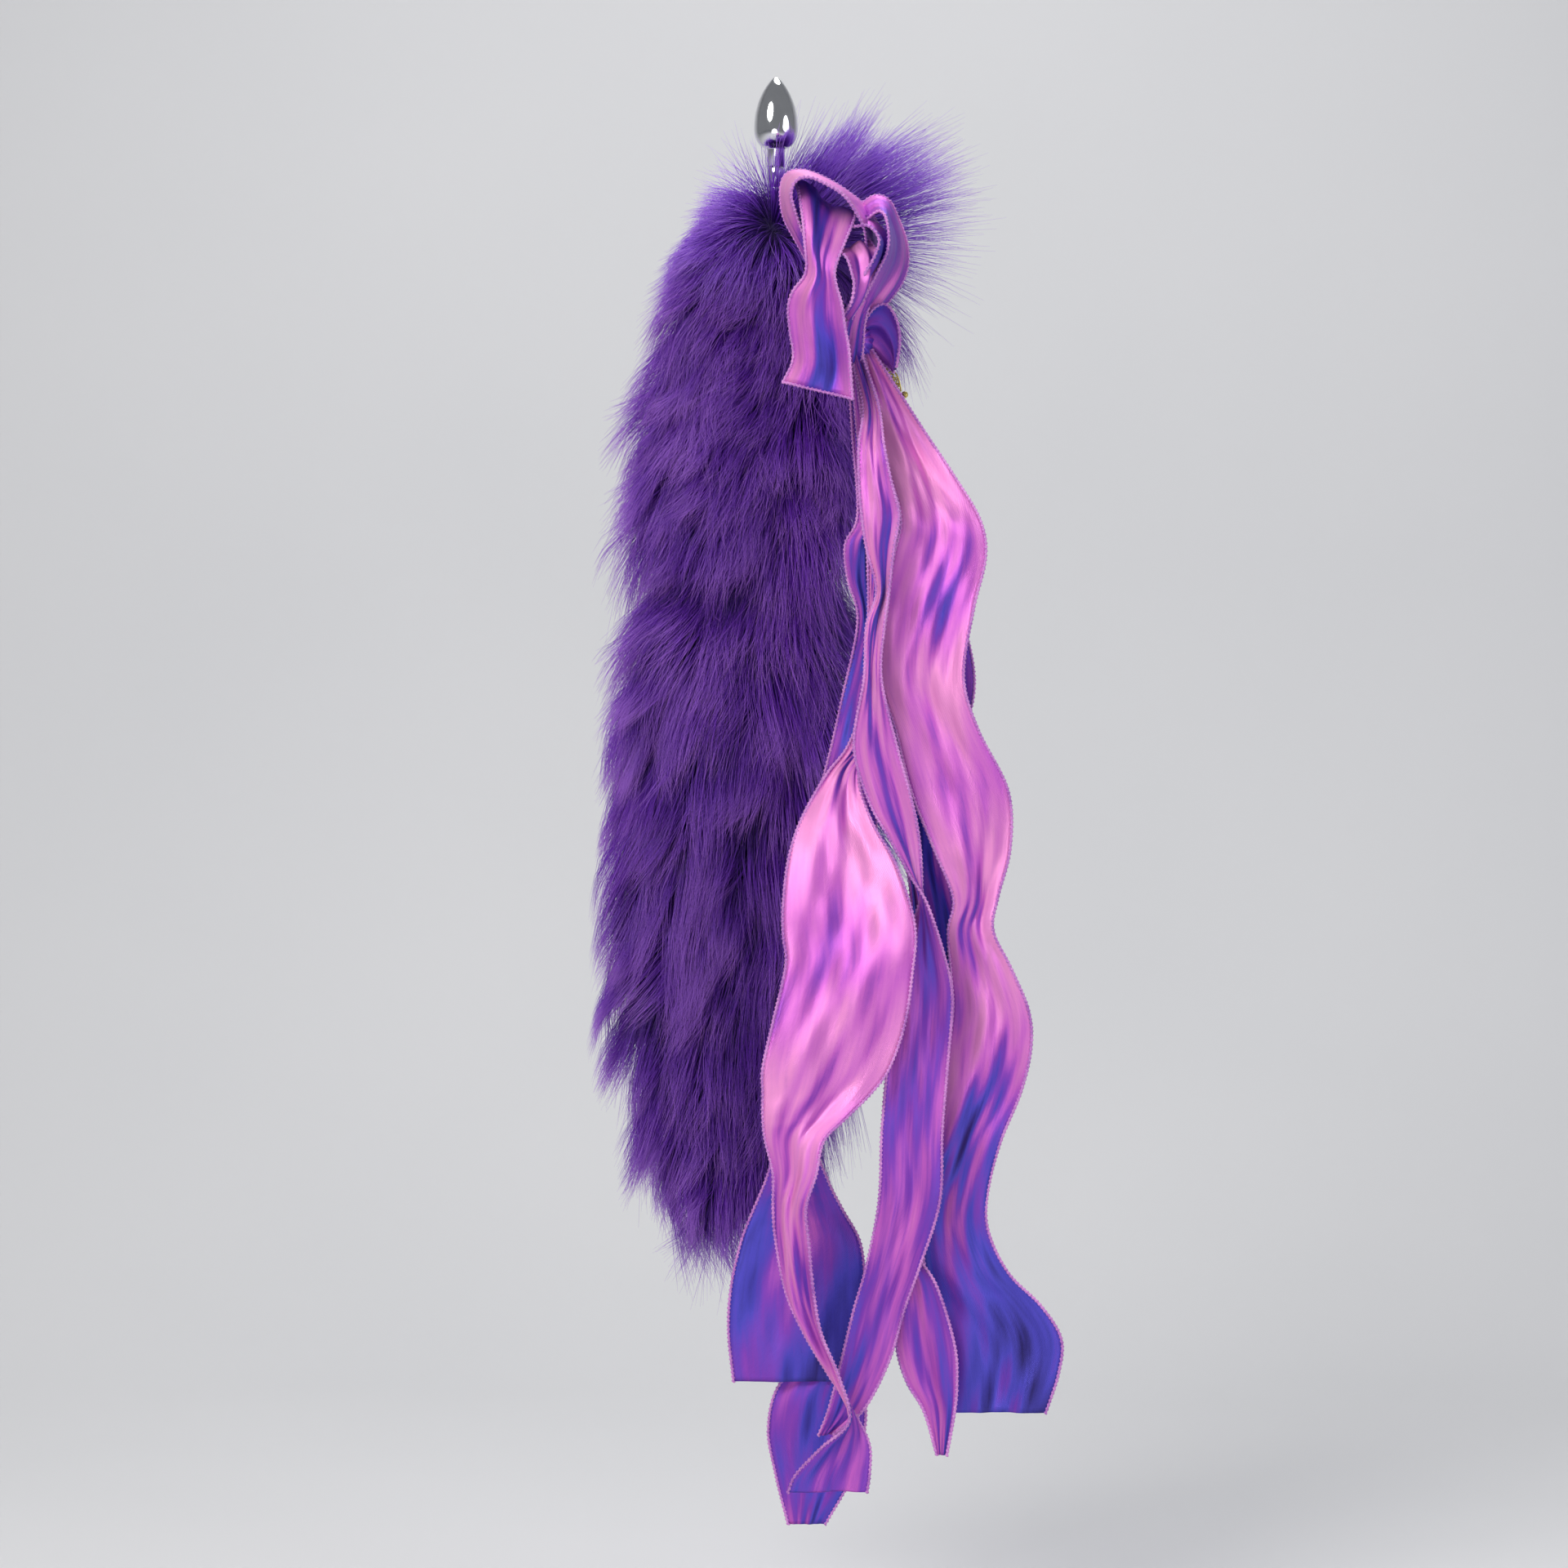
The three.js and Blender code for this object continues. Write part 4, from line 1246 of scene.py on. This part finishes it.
        # The tones lists paint sheen along each streamer: higher shares are painted pink where the cloth
        # catches the light, lower ones blue where it turns away.
        return [
            self.streamer(
                "back", "back", -50.2, back, [(0, 0.5), (0.5, 0.34), (0.75, 0.3), (0.9, 0.36), (1, 0.42)],
                0.5, 1, 1.6, 1.8, 0.7,
            ),
            self.streamer(
                "back_left", "back", -53.4, back_left,
                [(0, 0.5), (0.25, 0.34), (0.6, 0.34), (0.72, 0.38), (1, 0.3)], 0.5, 1, 1.4, 1.8, 1.9,
            ),
            self.streamer(
                "right", "right", -63.0, right,
                [
                    (0, 0.72), (0.12, 0.84), (0.25, 0.6), (0.33, 0.84), (0.42, 0.6), (0.5, 0.8), (0.6, 0.7),
                    (0.68, 0.62), (0.76, 0.36), (1, 0.24),
                ],
                0.34, 1, 1.6, 2.4, 3.3,
            ),
            self.streamer(
                "left", "left", -67.8, left,
                [
                    (0, 0.45), (0.3, 0.5), (0.42, 0.84), (0.55, 0.6), (0.65, 0.84), (0.8, 0.55), (0.9, 0.8),
                    (1, 0.8),
                ],
                0.5, 1, 1.4, 2.2, 4.4,
            ),
            self.streamer(
                "small", "middle", -72.6, small, [(0, 0.6), (0.6, 0.4), (0.8, 0.5), (1, 0.55)], 0.4, 2, 1.0,
                1.0, 5.1,
            ),
            self.streamer(
                "middle", "middle", -75.8, middle,
                [(0, 0.6), (0.2, 0.7), (0.4, 0.62), (0.6, 0.5), (0.8, 0.42), (1, 0.5)], 0.52, 1, 1.2, 1.4,
                6.2,
            ),
        ]


def weld(mesh: Mesh) -> None:
    """Merges the vertices that lie together and drops the faces that vanish."""
    work = bmesh.new()
    work.from_mesh(mesh)
    bmesh.ops.remove_doubles(work, verts=work.verts, dist=1e-6)
    bmesh.ops.recalc_face_normals(work, faces=work.faces)
    work.to_mesh(mesh)
    work.free()
    mesh.update()


# ---- fur -------------------------------------------------------------------------


LEFT_REACH = -74 * MM
REAR_REACH = 52 * MM
KEPT_SHARE = 0.4
BOTTOM_LEAN = 0.0077


@dataclass
class TailAxis:
    """The tail's centre line through the neck pivot, the bend and the fur's bottom."""

    neck: Vector
    bend: Vector
    bottom: Vector

    @classmethod
    def from_frame(cls) -> "TailAxis":
        """Reads the two pivots from the record and the bottom from the fur's box."""
        bend = Vector(joint_place("tail_bend"))
        low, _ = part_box("fur_lower")
        return cls(Vector(joint_place("tail_swing")), bend, Vector((bend.x - BOTTOM_LEAN, 0.0, low[2])))

    def at(self, z: Array) -> Array:
        """The centre line's x at each height."""
        heights = [self.bottom.z, self.bend.z, self.neck.z]
        return np.interp(z, heights, [self.bottom.x, self.bend.x, self.neck.x])


@dataclass
class FurTail:
    """The fur: a woolly under-layer on the hide and guard hairs combed over it."""

    axis: TailAxis
    under_radii: Sequence[tuple[float, float]] = (
        (-24.5, 8.5), (-27, 13), (-33, 19), (-42, 24), (-60, 26.5), (-100, 28), (-140, 29.5), (-158, 28.5),
        (-167, 26), (-173, 23.5), (-179, 25), (-192, 28), (-230, 32), (-300, 32.5), (-360, 30.5),
        (-400, 26), (-425, 19), (-437, 11), (-441, 0.0),
    )
    bands: Sequence[tuple[float, float, str, int]] = (
        (-23, -48, "tail_upper", 3), (-48, -96, "tail_upper", 4), (-96, -142, "tail_upper", 4),
        (-142, -196, "", 5), (-196, -262, "tail_lower", 6), (-262, -336, "tail_lower", 7),
        (-336, -446, "tail_lower", 8),
    )
    hairs: int = 6800
    bend_top: Vector = field(default_factory=lambda: Vector((-0.014, 0, -0.150)))
    bend_foot: Vector = field(default_factory=lambda: Vector((-0.017, 0, -0.195)))

    def scalp(self) -> tuple[Array, list[list[int]], Array]:
        """The under-fur's surface.

        Returns:
            Its points, its faces and each point's turn about the axis (0 faces the front).
        """
        heights, radii = np.array(self.under_radii).T * MM
        steps, sides = 150, 90
        path = np.concatenate([[0], np.cumsum(np.hypot(np.diff(heights), np.diff(radii)))])
        even = np.linspace(0, path[-1], steps)
        z = np.interp(even, path, heights)
        r = np.interp(even, path, radii)
        for _ in range(4):
            r[1:-1] = (r[:-2] + 2 * r[1:-1] + r[2:]) / 4
        turn = np.linspace(0, 2 * np.pi, sides, endpoint=False)
        grid_z, grid_t = np.meshgrid(z, turn, indexing="ij")
        uneven = 1 + 0.035 * np.sin(3 * grid_t + 40 * grid_z) + 0.03 * np.sin(5 * grid_t - 90 * grid_z)
        radius = r[:, None] * uneven
        x = self.axis.at(grid_z) + radius * np.sin(grid_t)
        y = -radius * np.cos(grid_t) * 0.94
        points = np.stack([x, y, grid_z], axis=2).reshape(-1, 3)
        faces = []
        for i in range(steps - 1):
            for j in range(sides):
                k = (j + 1) % sides
                faces.append([i * sides + j, (i + 1) * sides + j, (i + 1) * sides + k, i * sides + k])
        faces.append(list(range(sides)))
        return points, faces, grid_t.reshape(-1)

    def groom(self, points: Array, turn: Array, normals: Array) -> dict[str, Array]:
        """How the hair lies at each point of the scalp.

        Args:
            points: the scalp's points.
            turn: each point's turn about the axis.
            normals: its outward normals.

        Returns:
            Comb direction, reach, lift and amount.
        """
        x, y, z = points.T
        mm = z / MM
        sway = 0.5 * np.sin(31 * z + 2 * turn) + 0.3 * np.sin(83 * z - 3 * turn + 1.0)
        sway += 0.25 * np.sin(160 * z + 5 * turn)
        front = np.clip(np.cos(turn), 0, 1)
        right = np.clip(np.sin(turn), -1, 1)
        low = np.interp(mm, [-230, -185], [1, 0])
        crown = np.interp(mm, [-52, -34], [0, 1])
        left_pull = np.interp(mm, [-420, -200, -165, -100, -50], [-0.26, -0.36, -0.6, -0.5, -0.2])
        comb = np.stack(
            [left_pull * front + 0.32 * sway * (1 - 0.6 * low), 0.12 * sway, -np.ones_like(x)], axis=1,
        )
        upward = np.stack([0.55 + 0.55 * right, -0.15 * front, 0.95 + 0.2 * sway], axis=1)
        droop = np.stack([-0.35 + 0.6 * right, 0 * x, -0.25 + 0.75 * (right + 0.25) + 0.2 * sway], axis=1)
        share = np.clip(0.5 + 0.9 * right, 0, 1)[:, None]
        comb = comb * (1 - crown[:, None]) + crown[:, None] * (upward * share + droop * (1 - share))
        comb -= normals * (np.sum(comb * normals, axis=1) * (1 - crown * share[:, 0]))[:, None]
        comb /= np.linalg.norm(comb, axis=1)[:, None] + 1e-9
        reach = np.interp(
            mm, [-445, -420, -380, -250, -200, -172, -100, -50, -25], [33, 40, 46, 46, 42, 37, 31, 28, 24],
        )
        reach = reach * (1 + 0.3 * crown * np.clip(right, 0, 1) - 0.3 * crown * np.clip(-right, 0, 1))
        lift = np.interp(
            mm, [-440, -400, -330, -240, -200, -172, -150, -100, -50, -30],
            [6, 12, 17, 18, 17, 13, 17, 17, 15, 13],
        )
        squared = np.clip(right, 0, 1) ** 2
        lift = lift - 6 * crown * np.clip(-right + 0.3, 0, 1)
        lift = lift + 1.8 * np.clip(-right, 0, 1) + 7 * squared * (mm > -230) + 4 * squared
        side = np.exp(-(((turn - 0.4 + np.pi) % (2 * np.pi) - np.pi) / 0.5) ** 2)
        tame = np.where(mm > -60, 0.35, 0.6)
        lift = lift * (1 - tame * side * (mm > -420))
        behind = np.clip(-np.cos(turn), 0, 1)
        amount = 1 - 0.42 * behind
        return {"comb": comb, "reach": reach * MM, "lift": lift * MM, "amount": amount}

    def build(self) -> None:
        """Makes the under-fur and the guard hairs, band by band."""
        points, faces, turn = self.scalp()
        mesh = mesh_of(points, faces)
        weld(mesh)
        places, normals = (vertex_rows(mesh, name).astype(float) for name in ("co", "normal"))
        around = np.arctan2(places[:, 0] - self.axis.at(places[:, 2]), -places[:, 1]) % (2 * np.pi)
        under = new_piece("under_fur", mesh.copy(), UNDER_FUR)
        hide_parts("fur_crown", "fur_upper", "fur_lower")
        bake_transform(under, "tail_upper", "tail_lower", start=tuple(self.bend_top), end=tuple(self.bend_foot))
        groom = self.groom(places, around, normals)
        tree = hair_tree()
        for index, (top, foot, body, seed) in enumerate(self.bands):
            self.plant(mesh, groom, tree, index, (top * MM, foot * MM), body, seed)
        bpy.data.meshes.remove(mesh)

    @staticmethod
    def press(mesh: Mesh) -> None:
        """Presses in the hairs that stand furthest out on the left and behind.

        Args:
            mesh: one band's hairs.
        """
        places = vertex_rows(mesh, "co")
        x, y = places[:, 0].copy(), places[:, 1].copy()
        left, rear, kept = LEFT_REACH, REAR_REACH, KEPT_SHARE
        places[:, 0] = np.where(x < left, left + kept * (x - left), x)
        places[:, 1] = np.where(y > rear, rear + kept * (y - rear), y)
        mesh.vertices.foreach_set("co", places.reshape(-1))

    def plant(
        self, scalp: Mesh, groom: dict[str, Array], tree: NodeShape,
        index: int, span: tuple[float, float], body: str, seed: int,
    ) -> None:
        """Grows one band's guard hairs.

        Args:
            scalp: the whole scalp.
            groom: how the hair lies, by vertex.
            tree: the hair tree.
            index: the band's number from the top.
            span: its top and foot.
            body: the body it rides on, empty where it crosses the bend.
            seed: the seed of its roots.
        """
        work = scalp.copy()
        for key in ("reach", "lift", "amount"):
            float_attribute(work, key, groom[key])
        vector_attribute(work, "comb", groom["comb"])
        cut = bmesh.new()
        cut.from_mesh(work)
        away = [f for f in cut.faces if len(f.verts) > 4 or not span[1] <= f.calc_center_median().z < span[0]]
        bmesh.ops.delete(cut, geom=away, context="FACES")
        area = sum(f.calc_area() for f in cut.faces)
        cut.to_mesh(work)
        cut.free()
        count = self.hairs
        crown = index == 0
        finish = CROWN_HAIR if crown else HAIR
        values = {
            "Density": count / area / 0.86, "Seed": seed, "Thickness": 0.155 * MM,
            "Locks": 95.0 if index < 4 else 72.0, "Clump": 0.45 if index < 4 else 0.6,
            "Stray": 0.2 if index < 4 else 0.085, "Steps": 5, "Hair": Finishes.get(finish),
        }
        made = tree.run("guard_hair", work, values)
        self.press(made)
        keep = {"along", "lot", "position", "material_index", "sharp_face"}
        for name in [a.name for a in made.attributes if a.name not in keep and not a.name.startswith(".")]:
            made.attributes.remove(made.attributes[name])
        hair = new_piece(f"guard_hair_{index + 1}", made, finish)
        if body:
            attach(hair, body)
        else:
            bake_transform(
                hair, "tail_upper", "tail_lower", start=tuple(self.bend_top), end=tuple(self.bend_foot),
            )
        made.calc_loop_triangles()
        LOG.info("%s: %d triangles", hair.name, len(made.loop_triangles))


# ---- metal -----------------------------------------------------------------------


@dataclass
class Plug:
    """The turned and polished plug and the ferrule screwed under it."""

    neck: float = 3.7
    bore: float = 2.3
    wall: float = 1.1

    def build(self) -> None:
        """Makes the smooth plug and ferrule over their solids."""
        low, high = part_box("plug_body")
        widest = (high[0] - low[0]) / 2
        base, tip = low[2], high[2]
        neck, bore = self.neck * MM, self.bore * MM
        shoulder = base + 8 * MM
        middle = shoulder + 0.27 * (tip - shoulder)
        profile = [
            (0, base + 9 * MM), (bore, base + 9 * MM), (bore, base + 0.3 * MM), (bore + 0.3 * MM, base),
        ]
        profile += [(neck - 0.35 * MM, base), (neck, base + 0.35 * MM), (neck, shoulder - 0.8 * MM)]
        for share in np.linspace(0.04, 1, 24):
            turn = share * math.pi / 2
            height = shoulder + (middle - shoulder) * (1 - math.cos(turn))
            profile.append((neck + (widest - neck) * math.sin(turn), height))
        for share in np.linspace(0.02, 1, 40):
            radius = widest * max(1 - share**2.1, 0) ** 0.8
            profile.append((radius, middle + (tip - middle) * share))
        plug = turned_piece("polished_plug", np.array(profile), STEEL)
        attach(plug, "plug")
        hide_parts("plug_body")
        self.build_ferrule()

    def build_ferrule(self) -> None:
        """Makes the ferrule, rounded at its ends, with a fine groove near its foot."""
        low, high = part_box("ferrule")
        outer, foot, top = (high[0] - low[0]) / 2, low[2], high[2]
        inner, hole, round_ = outer - self.wall * MM, self.bore * MM, 0.4 * MM
        shelf = top - 3.4 * MM
        profile = [
            (inner, shelf), (inner, foot + 0.2 * MM), (inner + 0.2 * MM, foot), (outer - round_, foot),
        ]
        profile += [(outer - 0.12 * MM, foot + 0.12 * MM), (outer, foot + round_)]
        profile += [
            (outer, foot + 1.5 * MM), (outer - 0.22 * MM, foot + 1.65 * MM),
            (outer - 0.22 * MM, foot + 1.95 * MM), (outer, foot + 2.1 * MM),
        ]
        profile += [
            (outer, top - round_), (outer - 0.12 * MM, top - 0.12 * MM), (outer - round_, top), (hole, top),
            (hole, shelf), (inner, shelf),
        ]
        ferrule = turned_piece("turned_ferrule", np.array(profile), STEEL)
        weld(ferrule.data)
        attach(ferrule, "ferrule")
        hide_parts("ferrule")


@dataclass
class Charm:
    """A small gilt filigree leaf of scrolled wire."""

    wire: float = 0.34

    def scroll(self, reach: float, turns: float, flip: float, start: Vector, lean: float) -> Array:
        """One spiral of wire in the leaf's own plane, in millimetres.

        Args:
            reach: its outer radius.
            turns: how many turns it makes.
            flip: which way it turns, 1 or -1.
            start: its centre.
            lean: the angle it starts from.

        Returns:
            Its centre line.
        """
        share = np.linspace(0, 1, 40)
        radius = reach * (1 - 0.86 * share)
        angle = lean + flip * turns * 2 * np.pi * share
        x = start.x + radius * np.cos(angle)
        return np.stack([x, 0 * x, start.y + radius * np.sin(angle)], axis=1)

    def build(self) -> None:
        """Makes the leaf over its solid, turned as it hangs."""
        pivot = np.array(joint_place("charm_swing"))
        routes = []
        share = np.linspace(0, 1, 48)
        half = 4.2 * np.sin(np.pi * share**0.72) ** 0.9
        for sign in (-1, 1):
            routes.append(np.stack([sign * (half + 0.02), 0 * share, -12.6 * share], axis=1))
            for place, size in ((-3.1, 1.35), (-5.4, 1.75), (-8.0, 1.35), (-10.1, 0.8)):
                centre = Vector((sign * (size + 0.35), place))
                routes.append(self.scroll(size, 1.6, sign, centre, np.pi * (sign < 0)))
        routes.append(np.stack([0.16 * np.sin(9 * share), 0 * share, -0.3 - 12 * share], axis=1))
        lean = math.radians(48)
        cos, sin = math.cos(lean), math.sin(lean)
        turn = np.array([[cos, 0, -sin], [0, 1, 0], [sin, 0, cos]])
        drop = np.array([0, 0, -2.9])
        placed = [((route + drop) @ turn.T) * MM + pivot for route in routes]
        mesh = tube_mesh(placed, self.wire * MM, 7)
        leaf = new_piece("filigree_leaf", mesh, GILT)
        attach(leaf, "charm")
        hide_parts("charm_filigree")


@dataclass(frozen=True)
class Hidden:
    """The inner pieces that keep their places and get their finishes."""

    finishes: dict[str, object] = field(default_factory=lambda: {
        "screw_stud": STEEL, "cord_end_in_ferrule": CORD, "core_cord_upper": CORD,
        "core_cord_lower": CORD, "hide_tube_upper": PELT, "hide_tube_lower": PELT,
        "hide_seam_upper": SEWING, "hide_seam_lower": SEWING, "neck_binding": SEWING,
        "bow_tie_wire": STEEL, "bow_stitch_thread": SEWING, "charm_jump_ring": GILT,
        "charm_bail": GILT, "charm_bead": GILT,
    })

    def dress(self) -> None:
        """Gives each node its finish."""
        for node, finish in self.finishes.items():
            thing = bpy.data.objects[node]
            for slot in thing.material_slots:
                slot.material = Finishes.get(finish)


# ---- room ------------------------------------------------------------------------


@dataclass
class Studio:
    """A pale sweep, soft lights and the camera."""

    aim: Vector = field(default_factory=lambda: Vector((0.00335, -0.025, -0.2665)))
    distance: float = 1.5187

    def build(self) -> None:
        """Makes the stage, the lights, the world and the camera."""
        self.build_sweep()
        self.light("key", (-0.75, -1.15, 0.75), 0.8, 15, (1.0, 0.985, 0.96))
        self.light("fill", (1.25, -0.9, 0.1), 1.0, 5.5, (0.94, 0.96, 1.0))
        self.light("top", (0.1, 0.25, 1.0), 0.8, 9, (1.0, 1.0, 1.0))
        self.light("low_front", (-0.2, -1.5, -0.55), 0.9, 3.5, (1.0, 0.97, 1.0))
        world = bpy.data.worlds.new("soft_room")
        world.use_nodes = True
        background = world.node_tree.nodes["Background"]
        background.inputs["Color"].default_value = (0.82, 0.84, 0.88, 1)
        background.inputs["Strength"].default_value = 0.26
        bpy.context.scene.world = world
        bpy.context.scene.view_settings.view_transform = "Standard"
        camera = bpy.data.cameras.new("camera")
        camera.lens, camera.sensor_width = 85, 36
        camera.clip_end = 20
        seat = bpy.data.objects.new("camera", camera)
        seat.location = self.aim + Vector((0, -self.distance, 0))
        seat.rotation_euler = (math.pi / 2, 0, 0)
        bpy.context.scene.collection.objects.link(seat)
        bpy.context.scene.camera = seat

    def light(
        self, name: str, place: Sequence[float], size: float, power: float, colour: Sequence[float]
    ) -> None:
        """Adds a soft light turned to the object.

        Args:
            name: the light's name.
            place: where it stands.
            size: its width.
            power: its power in watts.
            colour: its linear colour.
        """
        data = bpy.data.lights.new(name, "AREA")
        data.shape, data.size, data.energy, data.color = "DISK", size, power, colour
        lamp = bpy.data.objects.new(name, data)
        lamp.location = place
        lamp.rotation_euler = (self.aim - Vector(place)).to_track_quat("-Z", "Y").to_euler()
        bpy.context.scene.collection.objects.link(lamp)

    def build_sweep(self) -> None:
        """Makes the floor and the wall behind as one curved sheet."""
        floor, back, bend = -0.62, 1.1, 0.5
        turns = np.linspace(0, math.pi / 2, 24)
        profile = [(-4.0, floor)]
        profile += [(back - bend + bend * math.sin(t), floor + bend - bend * math.cos(t)) for t in turns]
        profile.append((back, 3.0))
        vertices = [(x, y, z) for y, z in profile for x in (-4.0, 4.0)]
        faces = [[2 * i, 2 * i + 1, 2 * i + 3, 2 * i + 2] for i in range(len(profile) - 1)]
        shader = Shader("pale_paper")
        cloud = shader.noise(shader.object_coords(), 3, 2)
        shader.colour(shader.mix(cloud, (0.74, 0.745, 0.76), (0.8, 0.8, 0.81)))
        shader.fixed(Roughness=0.9)
        sweep = bpy.data.objects.new("sweep", mesh_of(np.array(vertices), faces))
        sweep.data.polygons.foreach_set("use_smooth", [True] * len(sweep.data.polygons))
        sweep.data.materials.append(shader.material)
        bpy.context.scene.collection.objects.link(sweep)


def main() -> None:
    """Builds every sub-assembly in order."""
    logging.basicConfig(level=logging.INFO, format="%(name)s: %(message)s")
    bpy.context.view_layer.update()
    Studio().build()
    Hidden().dress()
    Plug().build()
    FurTail(TailAxis.from_frame()).build()
    Bow().build()
    Charm().build()
    bpy.context.view_layer.update()


if __name__ == "__main__":
    main()
